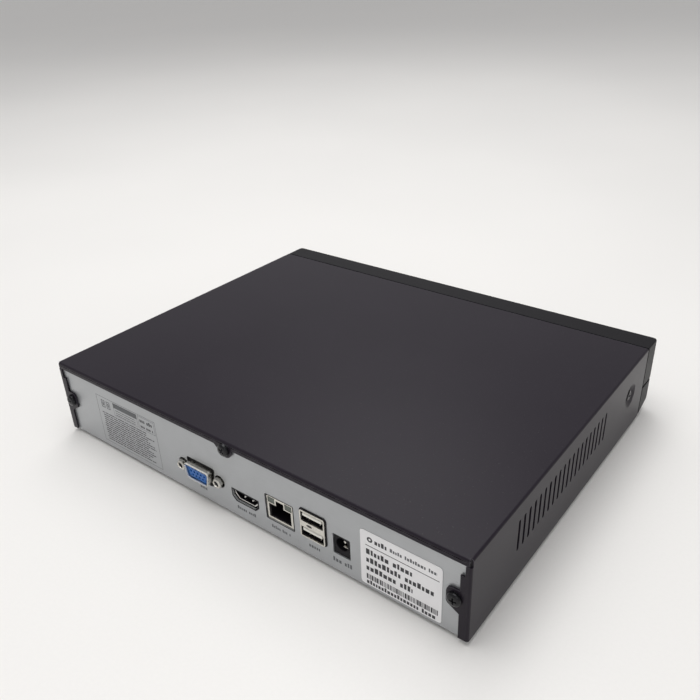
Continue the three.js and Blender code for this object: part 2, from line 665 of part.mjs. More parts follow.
// ---------------------------------------------------------------- network socket
const LAN_BODY = { half: 8, low: BOARD_TOP + 0.3, high: BOARD_TOP + 13.7, depth: 16 };
const LAN_MOUTH = {
  half: 5.95,
  low: BOARD_TOP + 2,
  high: BOARD_TOP + 8.8,
  latchHalf: 3.1,
  latchTop: BOARD_TOP + 11.6,
  deep: 12,
};
const lanFront = panelY - 0.3;
const lanBack = lanFront - LAN_BODY.depth;
add("lan_shell", nickel, (() => {
  const { x } = PORTS.lan;
  const { half, low, high } = LAN_BODY;
  const outer = box(x - half, x + half, lanBack, lanFront, floorZ + low, floorZ + high);
  const inner = box(x - half + 0.9, x + half - 0.9, lanBack + 0.4, lanFront + 1,
    floorZ + low + 0.9, floorZ + high - 0.9);
  return cut(outer, inner);
})());
add("lan_insert", blackPlastic, (() => {
  const { x } = PORTS.lan;
  const { half, low, high } = LAN_BODY;
  const mouth = LAN_MOUTH;
  const body = box(x - half + 1.05, x + half - 1.05, lanBack + 0.6, lanFront - 0.5,
    floorZ + low + 1.05, floorZ + high - 1.05);
  return cut(
    body,
    box(x - mouth.half, x + mouth.half, lanFront - mouth.deep, lanFront + 1,
      floorZ + mouth.low, floorZ + mouth.high),
    box(x - mouth.latchHalf, x + mouth.latchHalf, lanFront - 7, lanFront + 1,
      floorZ + mouth.high - 0.5, floorZ + mouth.latchTop),
  );
})());

// ---------------------------------------------------------------- double serial-bus socket
const USB_BODY = { half: 6.85, low: BOARD_TOP + 1.4, high: BOARD_TOP + 16, depth: 17 };
const USB_MOUTHS = [BOARD_TOP + 2, BOARD_TOP + 10.2]; // lower edge of each mouth
const USB_MOUTH = { half: 6.2, height: 5.1, deep: 12 };
const usbFront = panelY + 0.9;
const usbBack = usbFront - USB_BODY.depth;
const usbMouth = (low, grow, depth) => {
  const { x } = PORTS.usb;
  return box(x - USB_MOUTH.half - grow, x + USB_MOUTH.half + grow, usbFront - depth, usbFront + 1,
    floorZ + low - grow, floorZ + low + USB_MOUTH.height + grow);
};
add("usb_shell", nickel, cut(
  alongY(rectangle(PORTS.usb.x - USB_BODY.half, PORTS.usb.x + USB_BODY.half,
    floorZ + USB_BODY.low, floorZ + USB_BODY.high, 1.2), usbBack, usbFront),
  ...USB_MOUTHS.map((low) => usbMouth(low, 0, USB_MOUTH.deep)),
  box(PORTS.usb.x - 6.2, PORTS.usb.x + 6.2, usbBack - 1, usbFront - USB_MOUTH.deep + 1,
    floorZ + USB_MOUTHS[0], floorZ + USB_MOUTHS[1] + USB_MOUTH.height),
));
add("usb_insert", whitePlastic, (() => {
  const { x } = PORTS.usb;
  const back = box(x - 6, x + 6, usbBack + 0.3, usbFront - USB_MOUTH.deep + 0.6,
    floorZ + USB_MOUTHS[0] + 0.2, floorZ + USB_MOUTHS[1] + USB_MOUTH.height - 0.2);
  const tongues = USB_MOUTHS.map((low) =>
    box(x - 5.3, x + 5.3, usbFront - USB_MOUTH.deep + 0.3, usbFront - 0.6,
      floorZ + low + 3.1, floorZ + low + 4.7));
  return join(back, ...tongues);
})());

// ---------------------------------------------------------------- power inlet
const DC_BODY = { half: 4.4, low: BOARD_TOP + 0.4, high: BOARD_TOP + 11, depth: 14 };
const DC_BORE = { radius: 3.2, z: boardZ + 6.5, deep: 9.5 };
const dcFront = panelY - 0.5;
add("dc_jack_body", blackPlastic, cut(
  alongY(outline([
    [PORTS.dc.x - DC_BODY.half, floorZ + DC_BODY.low],
    [PORTS.dc.x + DC_BODY.half, floorZ + DC_BODY.low],
    [PORTS.dc.x + DC_BODY.half, floorZ + DC_BODY.high],
    [PORTS.dc.x - DC_BODY.half, floorZ + DC_BODY.high, 1.6],
  ]), dcFront - DC_BODY.depth, dcFront),
  cylinder("y", [PORTS.dc.x, dcFront, DC_BORE.z], DC_BORE.radius, -DC_BORE.deep, 1, 20),
));
add("dc_jack_pin", nickel, turned("y", [PORTS.dc.x, dcFront, DC_BORE.z], [
  [0, 0.1 - DC_BORE.deep],
  [1.05, 0.1 - DC_BORE.deep],
  [1.05, -2.3],
  [0.6, -1.7],
  [0, -1.7],
], 12));

// ---------------------------------------------------------------- disk
const LID_THICK = 1;
const diskTop = diskZ0 + DISK.height;
const wellFloor = diskZ0 + 7;
const wellTop = diskTop - LID_THICK - 0.1;
const spindle = [diskX1 - 51, diskMidY];
const PLATTER = { radius: 47.5, bore: 12.6, thick: 1.3, low: diskZ0 + 15 };
const pivot = [spindle[0] - 58, diskMidY + 19];
const ARM = { length: 54, hub: 7.5, coilReach: 21, coilHalf: 10, swing: 30 };
const PARKED = 50.5; // degrees between the parked arm and the line to the spindle
const toSpindle = Math.atan2(spindle[1] - pivot[1], spindle[0] - pivot[0]);
const parkedAngle = THREE.MathUtils.radToDeg(toSpindle) - PARKED;
const SHAFT = 2.5; // radius of the spindle's shaft and of the arm's pin
const armLow = PLATTER.low - 0.8;
const armHigh = PLATTER.low + PLATTER.thick + 0.8;

function diskBase() {
  const block = alongZ(rectangle(diskX0, diskX1, diskY0, diskY1, 3), diskZ0, wellTop, 3);
  const platterWell = cylinder("z", [...spindle, 0], PLATTER.radius + 1.5, wellFloor, wellTop + 1, 48);
  const armWell = alongZ(
    rectangle(diskX0 + 5, spindle[0] - 10, diskY0 + 5, diskY1 - 4, 4), wellFloor, wellTop + 1, 2);
  const boardBay = box(diskX0 - 1, diskX0 + 70, diskY0 + 8, diskY1 - 8, diskZ0 - 1, diskZ0 + 4);
  const screwHoles = DISK_HOLES.map(([x, y]) => cylinder("z", [x, y, 0], 2.05, diskZ0 - 1, diskZ0 + 6, 12));
  const hollowed = cut(block, platterWell, armWell, boardBay, ...screwHoles);
  const shaft = cylinder("z", [...spindle, 0], SHAFT, wellFloor - 1, wellFloor + 6, 16);
  const pin = cylinder("z", [...pivot, 0], SHAFT, wellFloor - 1, armHigh + 1.5, 16);
  return join(hollowed, shaft, pin);
}
add("disk_base", aluminium, diskBase());
add("disk_lid", nickel, alongZ(rectangle(diskX0 + 1, diskX1 - 1, diskY0 + 1, diskY1 - 1, 4),
  diskTop - LID_THICK, diskTop, 3));
add("disk_circuit_board", circuitBoard, join(
  box(diskX0 + 6, diskX0 + 69, diskY0 + 10, diskY1 - 10, diskZ0 + 1.2, diskZ0 + 2.4),
  box(diskX0 + 0.3, diskX0 + 6.1, diskMidY - 28, diskMidY + 28, diskZ0 + 0.4, diskZ0 + 3.6),
));

DISK_HOLES.forEach(([x, y], i) => {
  const seat = trayZ + PAD_HEIGHT - 0.05;
  const size = { head: 3.4, headHeight: 1.8, shank: 1.75, length: 6 };
  add(`disk_screw_${i + 1}`, nickel, panScrew("z", [x, y, 0], seat, -1, size));
});

const hubSolid = turned("z", [...spindle, 0], [
  [0, wellFloor + 0.4],
  [14, wellFloor + 0.4],
  [16, PLATTER.low - 1.2],
  [16, PLATTER.low - 0.1],
  [PLATTER.bore - 0.2, PLATTER.low - 0.1],
  [PLATTER.bore - 0.2, PLATTER.low + PLATTER.thick + 0.1],
  [16, PLATTER.low + PLATTER.thick + 0.1],
  [15, PLATTER.low + PLATTER.thick + 1.8],
  [0, PLATTER.low + PLATTER.thick + 1.8],
], 32);
const hubBore = cylinder("z", [...spindle, 0], SHAFT + GAP, wellFloor, wellFloor + 6.4, 16);
add("disk_hub", aluminium, cut(hubSolid, hubBore));
add("disk_platter", nickel, cut(
  cylinder("z", [...spindle, PLATTER.low], PLATTER.radius, 0, PLATTER.thick, 48),
  cylinder("z", [...spindle, PLATTER.low], PLATTER.bore, -1, PLATTER.thick + 1, 32),
));

// Both arms, the pivot and the flat coil that drives them, drawn along +X and then turned to park
function headArm() {
  const blade = outline([
    [0, -6.5],
    [ARM.length - 8, -2.6],
    [ARM.length, -1.4, 1],
    [ARM.length, 1.4, 1],
    [ARM.length - 8, 2.6],
    [0, 6.5],
  ]);
  const { coilReach, coilHalf } = ARM;
  const coil = outline([[0, -5], [-coilReach, -coilHalf, 3], [-coilReach, coilHalf, 3], [0, 5]]);
  const middle = (armLow + armHigh) / 2;
  const flat = join(
    alongZ(blade, armLow - 1, armLow),
    alongZ(blade, armHigh, armHigh + 1),
    alongZ(coil, middle - 1, middle + 1, 2),
    cylinder("z", [0, 0, 0], ARM.hub, armLow - 2, armHigh + 2, 20),
  );
  const bore = cylinder("z", [0, 0, 0], SHAFT + GAP, armLow - 3, armHigh + 3, 16);
  return cut(flat, bore).rotate([0, 0, parkedAngle]).translate([...pivot, 0]);
}
add("head_arm", aluminium, headArm());

// Two plates above and below the coil, joined by a wall behind it, hold the magnets
function magnetYoke() {
  const middle = (armLow + armHigh) / 2;
  const [low, high] = [middle - 4.5, middle + 4.5];
  const ring = (inner, outer, z0, z1) =>
    cut(
      cylinder("z", [...pivot, 0], outer, z0, z1, 48),
      cylinder("z", [...pivot, 0], inner, z0 - 1, z1 + 1, 48),
    );
  const rings = join(
    ring(11, 27, low, low + 2.2),
    ring(11, 27, high - 2.2, high),
    ring(24.4, 27, wellFloor + GAP, high),
  );
  const facing = THREE.MathUtils.degToRad(parkedAngle + 180 + ARM.swing / 2);
  const spread = THREE.MathUtils.degToRad(42);
  const reach = (angle) => [pivot[0] + 40 * Math.cos(angle), pivot[1] + 40 * Math.sin(angle)];
  const wedge = outline([pivot, reach(facing - spread), reach(facing), reach(facing + spread)]);
  return rings.intersect(alongZ(wedge, diskZ0, diskTop));
}
add("magnet_yoke", nickel, magnetYoke());

// ---------------------------------------------------------------- leads inside the case
// A round lead along a smooth curve through its points, with a box-shaped plug at each end
function lead(points, radius, sides, steps, plugs) {
  const path = new THREE.CatmullRomCurve3(points.map((point) => new THREE.Vector3(...point)));
  const section = new THREE.Shape();
  for (let i = 0; i < sides; i++) {
    const angle = (2 * Math.PI * i) / sides;
    const at = [radius * Math.cos(angle), radius * Math.sin(angle)];
    if (i) section.lineTo(...at);
    else section.moveTo(...at);
  }
  section.closePath();
  const tube = solidOf(new THREE.ExtrudeGeometry(section, { steps, extrudePath: path, bevelEnabled: false }));
  return join(tube, ...plugs.map((plug) => box(...plug)));
}

const dataTop = boardZ + DATA_SOCKET.height;
const diskPlugZ = diskZ0 + 2.5;
add("disk_data_lead", redSleeve, lead([
  [DATA_SOCKET.x, DATA_SOCKET.y, dataTop + 7],
  [DATA_SOCKET.x, DATA_SOCKET.y - 1, dataTop + 12],
  [DATA_SOCKET.x - 8, DATA_SOCKET.y - 8, dataTop + 16],
  [DATA_SOCKET.x - 20, DATA_SOCKET.y - 20, dataTop + 12],
  [DATA_SOCKET.x - 26, DATA_SOCKET.y - 32, dataTop],
  [DATA_SOCKET.x - 24, DATA_SOCKET.y - 41, diskPlugZ + 6],
  [DATA_SOCKET.x - 16, DATA_SOCKET.y - 46, diskPlugZ + 1],
  [DATA_SOCKET.x - 8, DATA_SOCKET.y - 46.5, diskPlugZ],
], 2.2, 10, 40, [
  [DATA_SOCKET.x - 6, DATA_SOCKET.x + 6, DATA_SOCKET.y - 3, DATA_SOCKET.y + 3, dataTop + 0.2, dataTop + 9],
  [diskX0 - 16, diskX0 - 0.3, DATA_SOCKET.y - 52.5, DATA_SOCKET.y - 40.5, diskPlugZ - 3, diskPlugZ + 3],
]));

const powerTop = boardZ + HEADER.height;
add("disk_power_lead", chipPlastic, lead([
  [HEADER.x, HEADER.y, powerTop + 3],
  [HEADER.x - 1, HEADER.y - 1, powerTop + 8],
  [HEADER.x - 9, HEADER.y - 6, powerTop + 17],
  [HEADER.x - 24, HEADER.y - 20, powerTop + 17],
  [HEADER.x - 38, HEADER.y - 40, powerTop + 8],
  [HEADER.x - 45, HEADER.y - 58, diskPlugZ + 5],
  [HEADER.x - 38, HEADER.y - 68, diskPlugZ + 1],
  [HEADER.x - 28, HEADER.y - 69, diskPlugZ],
], 2.2, 10, 44, [
  [HEADER.x - 5.2, HEADER.x + 5.2, HEADER.y - 2.4, HEADER.y + 2.4, powerTop + 0.2, powerTop + 5],
  [diskX0 - 15, diskX0 - 0.3, HEADER.y - 80, HEADER.y - 57, diskPlugZ - 3, diskPlugZ + 3],
]));

const ribbonZ = floorZ + 12;
add("indicator_lead", whitePlastic, lead([
  [-98, frontY + 12, ribbonZ],
  [-98, frontY + 20, ribbonZ],
  [-108, frontY + 34, floorZ + 6],
  [-112, frontY + 60, floorZ + 3.2],
  [-112, frontY + 90, floorZ + 3.2],
  [-104, frontY + 118, floorZ + 6],
  [-90, frontY + 134, boardZ + 6],
  [-76, frontY + 140, boardZ + 9],
  [-72, frontY + 141, boardZ + 7],
], 1.4, 8, 44, [
  [-102.5, -93.5, frontY + 9.8, frontY + 14, ribbonZ - 2.4, ribbonZ + 2.4],
  [-75, -69, frontY + 137, frontY + 145, boardZ + 0.2, boardZ + 7.2],
]));

export default recorder;
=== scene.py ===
import json
import math
import random

import bmesh
import bpy
from mathutils import Matrix, Vector


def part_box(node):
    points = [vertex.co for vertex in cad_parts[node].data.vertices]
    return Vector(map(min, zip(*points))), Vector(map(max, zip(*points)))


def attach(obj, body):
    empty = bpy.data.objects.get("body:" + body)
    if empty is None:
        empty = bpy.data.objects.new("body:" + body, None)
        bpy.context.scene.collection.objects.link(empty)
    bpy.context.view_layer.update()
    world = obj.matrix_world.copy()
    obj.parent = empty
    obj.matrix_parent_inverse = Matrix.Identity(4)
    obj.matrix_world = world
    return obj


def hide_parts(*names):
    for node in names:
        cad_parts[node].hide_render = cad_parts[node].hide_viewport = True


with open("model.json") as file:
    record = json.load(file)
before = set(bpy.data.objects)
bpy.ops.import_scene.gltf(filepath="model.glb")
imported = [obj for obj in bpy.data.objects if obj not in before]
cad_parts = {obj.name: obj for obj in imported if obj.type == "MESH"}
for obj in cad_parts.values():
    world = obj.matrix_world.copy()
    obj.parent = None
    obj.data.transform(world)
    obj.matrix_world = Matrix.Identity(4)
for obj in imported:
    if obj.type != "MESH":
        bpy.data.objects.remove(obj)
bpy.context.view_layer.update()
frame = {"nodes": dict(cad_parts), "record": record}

MM = 0.001
SLOT_OF = {name: node.material_slots[0].material.name for name, node in frame["nodes"].items()}
BODY_OF = {node: body for body, nodes in frame["record"]["behaviour"]["bodies"].items() for node in nodes}

# ---- camera
# Solved from the straight edges of the case: place in metres, angles in degrees
SENSOR_MM, LENS_MM = 36, 38.1128914
CAMERA_AT = Vector((-0.216296, 0.276059, 0.237900))
AZIMUTH, ELEVATION, ROLL = 218.615, 28.797, -2.309
CLIP_NEAR, CLIP_FAR = 0.01, 100


def add_camera():
    """The photograph's camera. Azimuth 0 is straight in front of the recorder."""
    a, e, r = (math.radians(v) for v in (AZIMUTH, ELEVATION, ROLL))
    back = Vector((math.sin(a) * math.cos(e), -math.cos(a) * math.cos(e), math.sin(e)))
    right = (-back).cross(Vector((0, 0, 1))).normalized()
    up = right.cross(-back)
    across = math.cos(r) * right + math.sin(r) * up
    upright = -math.sin(r) * right + math.cos(r) * up
    data = bpy.data.cameras.new("camera")
    data.sensor_width, data.lens = SENSOR_MM, LENS_MM
    data.clip_start, data.clip_end = CLIP_NEAR, CLIP_FAR
    camera = bpy.data.objects.new("camera", data)
    turn = Matrix((across, upright, back)).transposed().to_4x4()
    camera.matrix_world = Matrix.Translation(CAMERA_AT) @ turn
    bpy.context.scene.collection.objects.link(camera)
    bpy.context.scene.camera = camera


add_camera()


# ---- materials
NOISE_RANGE, FINE_RANGE = (0.3, 0.7), (0.25, 0.75)  # where most of a noise texture's values lie
ALONG_X = (60, 2500, 2500)  # stretches noise into lines along x
DUST_COLOUR, DUST_SCALE = (0.5, 0.49, 0.47, 1), 1400
# The edge band lightens every rounded edge, convex and concave: partly wear, partly a painted highlight.
WEAR_AND_HIGHLIGHT_PATCH_SCALE = 260
WORN_AND_LIT_EDGE_GLOSS = 0.15  # how much smoother the edge band of wear and painted highlight is
PLAIN_EDGES = (0.0, 0x8A8A8C, 0.35)
FINISH = {}


def srgb(code):
    """A colour code such as 0x2c2b2f as linear RGB."""
    parts = [((code >> shift) & 255) / 255 for shift in (16, 8, 0)]
    return tuple(c / 12.92 if c <= 0.04045 else ((c + 0.055) / 1.055) ** 2.4 for c in parts)


class Shader:
    """A node material. Each method adds one node and returns an output of it."""

    def __init__(self, name):
        self.name = name
        self.material = bpy.data.materials.new(name)
        self.material.use_nodes = True
        self.tree = self.material.node_tree
        self.tree.nodes.clear()

    def node(self, kind, inputs, **settings):
        made = self.tree.nodes.new("ShaderNode" + kind)
        for key, value in settings.items():
            setattr(made, key, value)
        for key, value in inputs.items():
            if isinstance(value, bpy.types.NodeSocket):
                self.tree.links.new(value, made.inputs[key])
            else:
                made.inputs[key].default_value = value
        return made

    def place(self):
        return self.node("TexCoord", {}).outputs["Object"]

    def math(self, operation, a, b):
        return self.node("Math", {0: a, 1: b}, operation=operation).outputs[0]

    def spread(self, value, start, end, low, high):
        """value from start..end carried to low..high, and held there beyond."""
        return self.node("MapRange", {0: value, 1: start, 2: end, 3: low, 4: high}).outputs[0]

    def noise(self, place, scale, detail, roughness=0.5):
        inputs = {"Vector": place, "Scale": scale, "Detail": detail, "Roughness": roughness}
        return self.node("TexNoise", inputs).outputs[0]

    def stretched(self, place, scale):
        return self.node("VectorMath", {0: place, 1: scale}, operation="MULTIPLY").outputs[0]

    def tinted(self, colour, tone):
        return self.node("VectorMath", {0: colour, "Scale": tone}, operation="SCALE").outputs[0]

    def mixed(self, share, a, b):
        return self.node("Mix", {0: share, 6: a, 7: b}, data_type="RGBA").outputs[2]

    def edges(self, radius, patch_scale, amount):
        """0 on flat ground, and up to amount in patches along edges, convex and concave: partly wear, partly a
        painted highlight.
        """
        rounded = self.node("Bevel", {"Radius": radius}, samples=4).outputs[0]
        normal = self.node("NewGeometry", {}).outputs["Normal"]
        match = self.node("VectorMath", {0: rounded, 1: normal}, operation="DOT_PRODUCT").outputs["Value"]
        edge = self.spread(match, 0.99, 0.86, 0.0, amount)
        patch = self.spread(self.noise(self.place(), patch_scale, 3.0), 0.42, 0.6, 0.25, 1.0)
        return self.math("MULTIPLY", edge, patch)

    def swing(self, noise, low, high):
        """A noise's usual range carried to low..high."""
        return self.spread(noise, *NOISE_RANGE, low, high)

    def relief(self, height, depth):
        """Surface relief up to depth mm."""
        return self.node("Bump", {"Strength": 1.0, "Distance": depth * MM, "Height": height}).outputs[0]

    def close(self, inputs):
        """Ends the material in its shader, and enters it in FINISH."""
        shader = self.node("BsdfPrincipled", inputs)
        self.tree.links.new(shader.outputs[0], self.node("OutputMaterial", {}).inputs["Surface"])
        FINISH[self.name] = self.material
        return self.material


def finish(name, colour, roughness, metallic=0.0, mottle=(0.06, 22), grain=(0.06, 0.5), bump=0.01,
           spread=0.08, wear=(0.3, 0x8A8A8C, 0.35), brushed=None, dust=0.0, specular=0.5):
    """A material with cloudy and fine variation, an edge band of wear and painted highlight, uneven gloss and
    fine relief.

    mottle and grain are an amount and a size in mm, and wear is an amount, a colour and a reach in mm for the
    edge band of wear and painted highlight.
    """
    (mottle, mottle_size), (grain, grain_size), (wear, worn_and_lit_colour, wear_and_highlight_radius) = mottle, grain, wear
    s = Shader(name)
    place = s.place()
    cloud = s.noise(place, 1000 / mottle_size, 3.0)
    fine = s.noise(place, 1000 / grain_size, 2.0, 0.6)
    if brushed:
        lines = s.noise(s.stretched(place, brushed), 1.0, 2.0, 0.6)
        fine = s.math("ADD", s.math("MULTIPLY", fine, 0.4), s.math("MULTIPLY", lines, 0.6))
    shade = s.spread(fine, *FINE_RANGE, -grain, grain)
    tone = s.math("ADD", s.swing(cloud, 1 - mottle, 1 + mottle), shade)
    base = s.tinted(srgb(colour), tone)
    if dust:
        specks = s.spread(s.noise(place, DUST_SCALE, 1.0), 0.7, 0.8, 0.0, dust)
        base = s.mixed(specks, base, DUST_COLOUR)
    # Painted highlight with some wear: edges are mixed towards a paler colour.
    edge = s.edges(wear_and_highlight_radius * MM, WEAR_AND_HIGHLIGHT_PATCH_SCALE, wear)
    base = s.mixed(edge, base, (*srgb(worn_and_lit_colour), 1))
    sheen = s.spread(fine, *FINE_RANGE, -spread / 2, spread / 2)
    gloss = s.math("ADD", s.math("ADD", s.swing(cloud, -spread, spread), sheen), roughness)
    gloss = s.math("SUBTRACT", gloss, s.math("MULTIPLY", edge, WORN_AND_LIT_EDGE_GLOSS))
    return s.close({"Base Color": base, "Roughness": gloss, "Metallic": metallic,
                    "Specular IOR Level": specular, "Normal": s.relief(fine, bump)})


def laminate(name):
    """Green solder mask with runs of copper lines under it, bright vias and a slight weave."""
    s = Shader(name)
    place = s.place()
    lines = [s.spread(s.node("TexWave", {"Vector": place, "Scale": 330.0}, bands_direction=way).outputs[1],
                      0.66, 0.76, 0.0, 1.0) for way in ("X", "Y")]
    runs = [s.spread(s.noise(s.stretched(place, stretch), 1.0, 1.0), 0.48, 0.5, 0.0, 1.0)
            for stretch in ((160, 45, 60), (45, 160, 60))]
    copper = s.math("MAXIMUM", s.math("MULTIPLY", lines[1], runs[0]), s.math("MULTIPLY", lines[0], runs[1]))
    vias = s.node("TexVoronoi", {"Vector": place, "Scale": 330.0}).outputs["Distance"]
    ring = s.spread(vias, 0.13, 0.09, 0.0, 1.0)
    cloud = s.noise(place, 120, 3.0)
    weave = s.noise(place, 1600, 2.0)
    base = s.mixed(s.math("MULTIPLY", copper, 0.75), (*srgb(0x0F4A30), 1), (*srgb(0x2A7A50), 1))
    base = s.mixed(s.math("MULTIPLY", ring, 0.8), base, (*srgb(0xB9C2A6), 1))
    base = s.tinted(base, s.math("ADD", s.swing(cloud, 0.88, 1.08), s.swing(weave, -0.05, 0.05)))
    gloss = s.math("ADD", s.swing(cloud, 0.26, 0.4), s.math("MULTIPLY", copper, -0.05))
    height = s.math("ADD", s.math("MULTIPLY", copper, 0.7), s.math("MULTIPLY", weave, 0.3))
    s.close({"Base Color": base, "Roughness": gloss, "Normal": s.relief(height, 0.02)})


# The black paint's pale edge band mostly stands for the highlight along the folds: a painted highlight, with a
# little wear.
finish("black_paint", 0x221D25, 0.31, mottle=(0.04, 45), grain=(0.12, 0.35), bump=0.012, spread=0.015,
       wear=(0.6, 0x78767C, 0.35), dust=0.05, specular=0.15)
finish("silver_steel", 0xADAFB1, 0.36, 0.6, mottle=(0.04, 9), grain=(0.05, 0.3), bump=0.006, spread=0.07,
       wear=(0.5, 0xE6E6E8, 0.35), brushed=ALONG_X)
finish("black_moulding", 0x121014, 0.44, grain=(0.12, 0.3), bump=0.015, spread=0.025,
       wear=(0.2, 0x48484C, 0.35), dust=0.04, specular=0.14)
finish("smoked_window", 0x0C0C0F, 0.07, grain=(0.03, 0.5), bump=0.001, spread=0.02,
       wear=(0.15, 0x3A3A40, 0.35))
finish("black_zinc", 0x161619, 0.24, 0.45, mottle=(0.15, 2), grain=(0.12, 0.12), bump=0.006,
       wear=(0.6, 0x77777C, 0.25))
finish("nickel_plate", 0xD9D6CE, 0.24, 1.0, mottle=(0.05, 4), grain=(0.05, 0.15), bump=0.003,
       wear=(0.3, 0xF4F2EC, 0.2))
finish("disk_lid_steel", 0xB9BBBF, 0.33, 1.0, mottle=(0.05, 14), grain=(0.07, 0.25), bump=0.005,
       wear=(0.4, 0xE8E8EA, 0.35), brushed=ALONG_X)
finish("platter_mirror", 0xD8DADC, 0.06, 1.0, mottle=(0.02, 22), grain=(0.01, 0.5), bump=0.0005, spread=0.02,
       wear=(0.2, 0xF0F0F0, 0.35))
finish("blue_moulding", 0x1C62AE, 0.36, mottle=(0.08, 6), grain=(0.06, 0.2), bump=0.006,
       wear=(0.3, 0x7FA6DA, 0.15))
finish("white_moulding", 0xE2E0D8, 0.45, mottle=(0.04, 7), grain=(0.04, 0.25), bump=0.006,
       wear=(0.2, 0xF6F5F0, 0.35))
finish("rubber", 0x161616, 0.82, mottle=(0.2, 3), grain=(0.2, 0.3), bump=0.03, wear=(0.3, 0x3C3A38, 0.35),
       dust=0.5)
finish("label_film", 0xE9E8E9, 0.38, 0.05, mottle=(0.03, 14), grain=(0.03, 0.2), bump=0.003,
       wear=(0.4, 0xF2F2F2, 0.12))
laminate("circuit_board")
finish("aluminium", 0xC3C5C8, 0.36, 1.0, mottle=(0.06, 8), grain=(0.08, 0.3), bump=0.01,
       wear=(0.4, 0xEDEDEE, 0.35))
finish("chip_plastic", 0x1B1B1D, 0.55, mottle=(0.1, 4), grain=(0.14, 0.15), bump=0.01,
       wear=(0.2, 0x4A4A4C, 0.35))
finish("brass_hex", 0xC8A557, 0.3, 1.0, mottle=(0.08, 3), grain=(0.05, 0.2), bump=0.003,
       wear=(0.4, 0xE8D08C, 0.35))
finish("red_sleeve", 0xA81D1E, 0.42, mottle=(0.07, 9), grain=(0.06, 0.3), bump=0.008,
       wear=(0.2, 0xC65A58, 0.35))
INK = finish("print_ink", 0x26262A, 0.5, mottle=(0.2, 3), grain=(0.25, 0.2), bump=0.001, wear=PLAIN_EDGES)
FAINT_INK = finish("faint_ink", 0x56585B, 0.5, mottle=(0.2, 3), grain=(0.25, 0.2), bump=0.001, wear=PLAIN_EDGES)
GOLD = finish("gold_contact", 0xD8B158, 0.22, 1.0, mottle=(0.06, 2), grain=(0.05, 0.1), bump=0.002,
              wear=(0.3, 0xF2DFA8, 0.1))
LIGHT_PIPE = finish("light_pipe", 0x595F57, 0.3, mottle=(0.1, 2), grain=(0.06, 0.2), bump=0.004,
                    wear=(0.3, 0xC8CFC4, 0.15))
CERAMIC = finish("ceramic_body", 0xA98A63, 0.5, mottle=(0.15, 2), grain=(0.08, 0.15), bump=0.004,
                 wear=(0.2, 0xD0BC9A, 0.1))
# A pale, barely metallic finish that keeps rims and pins bright inside shaded openings: a painted highlight.
LIT_RIM = finish("tinned_edge", 0xF1EFE9, 0.45, 0.3, mottle=(0.06, 2), grain=(0.04, 0.12), bump=0.002,
                wear=(0.3, 0xFFFFFF, 0.1))
YELLOW_WIRE = finish("yellow_sleeve", 0xC9A21E, 0.42, mottle=(0.08, 6), grain=(0.06, 0.5), bump=0.006,
                     wear=(0.1, 0x8A8A8C, 0.35))
WHITE_INK = finish("white_ink", 0xD2D6D0, 0.5, mottle=(0.1, 3), grain=(0.2, 0.2), bump=0.001, wear=PLAIN_EDGES)

for name, node in frame["nodes"].items():
    node.material_slots[0].material = FINISH[SLOT_OF[name]]


# ---- solids
BEVEL_STEPS = 2
SHARP = math.radians(40)  # an edge that bends more than this stays sharp, or is rounded
INK_HALF = 0.02  # half the thickness of printed ink
PLANES = {
    "x": Matrix(((0, 0, 1), (1, 0, 0), (0, 1, 0))),
    "y": Matrix(((1, 0, 0), (0, 0, 1), (0, 1, 0))),
    "z": Matrix.Identity(3),
}


def prism(bm, axis, outline, low, high, index=0):
    """A closed solid: an outline drawn on (y, z), (x, z) or (x, y), pulled along the axis. All in mm."""
    turn = PLANES[axis]
    ends = [[bm.verts.new(turn @ Vector((u, v, w)) * MM) for u, v in outline] for w in (low, high)]
    faces = [bm.faces.new(ends[0]), bm.faces.new(ends[1])]
    for i in range(len(outline)):
        j = (i + 1) % len(outline)
        faces.append(bm.faces.new((ends[0][i], ends[0][j], ends[1][j], ends[1][i])))
    for face in faces:
        face.material_index = index
    return faces


def rectangle(u0, u1, v0, v1, radius=0.0, steps=4):
    if not radius:
        return [(u0, v0), (u1, v0), (u1, v1), (u0, v1)]
    centres = [(u1 - radius, v1 - radius), (u0 + radius, v1 - radius), (u0 + radius, v0 + radius),
               (u1 - radius, v0 + radius)]
    return [(u + radius * math.cos(math.radians(90 * (k + i / steps))),
             v + radius * math.sin(math.radians(90 * (k + i / steps))))
            for k, (u, v) in enumerate(centres) for i in range(steps + 1)]


def block(bm, x0, x1, y0, y1, z0, z1, index=0, chamfer=0.0):
    """A box with its edges rounded off."""
    faces = prism(bm, "z", rectangle(x0, x1, y0, y1), z0, z1, index)
    if chamfer:
        edges = list({edge for face in faces for edge in face.edges})
        made = bmesh.ops.bevel(bm, geom=edges, offset=chamfer * MM, segments=BEVEL_STEPS, profile=0.5,
                               affect="EDGES")
        for face in made["faces"]:
            face.material_index = index


def centred(bm, at, half_x, half_y, z0, z1, index=0, chamfer=0.0):
    """A block about a place seen from above."""
    block(bm, at[0] - half_x, at[0] + half_x, at[1] - half_y, at[1] + half_y, z0, z1, index, chamfer)


def rod(radius, low, high):
    """The profile of a plain rod."""
    return [(0, low), (radius, low), (radius, high), (0, high)]


def turned(bm, axis, at, profile, segments, index=0, closed=False):
    """A solid of revolution about an axis through a point, from (radius, distance) pairs in mm."""
    turn = PLANES[axis]
    rings = []
    for radius, along in profile:
        angles = [2 * math.pi * k / segments for k in range(segments)] if radius > 1e-6 else [0]
        rings.append([bm.verts.new((turn @ Vector((radius * math.cos(a), radius * math.sin(a), along))
                                    + Vector(at)) * MM) for a in angles])
    pairs = list(zip(rings, rings[1:])) + ([(rings[-1], rings[0])] if closed else [])
    for a, b in pairs:
        for k in range(segments):
            j = (k + 1) % segments
            spots = list(dict.fromkeys([a[k % len(a)], a[j % len(a)], b[j % len(b)], b[k % len(b)]]))
            if len(spots) > 2:
                bm.faces.new(spots).material_index = index


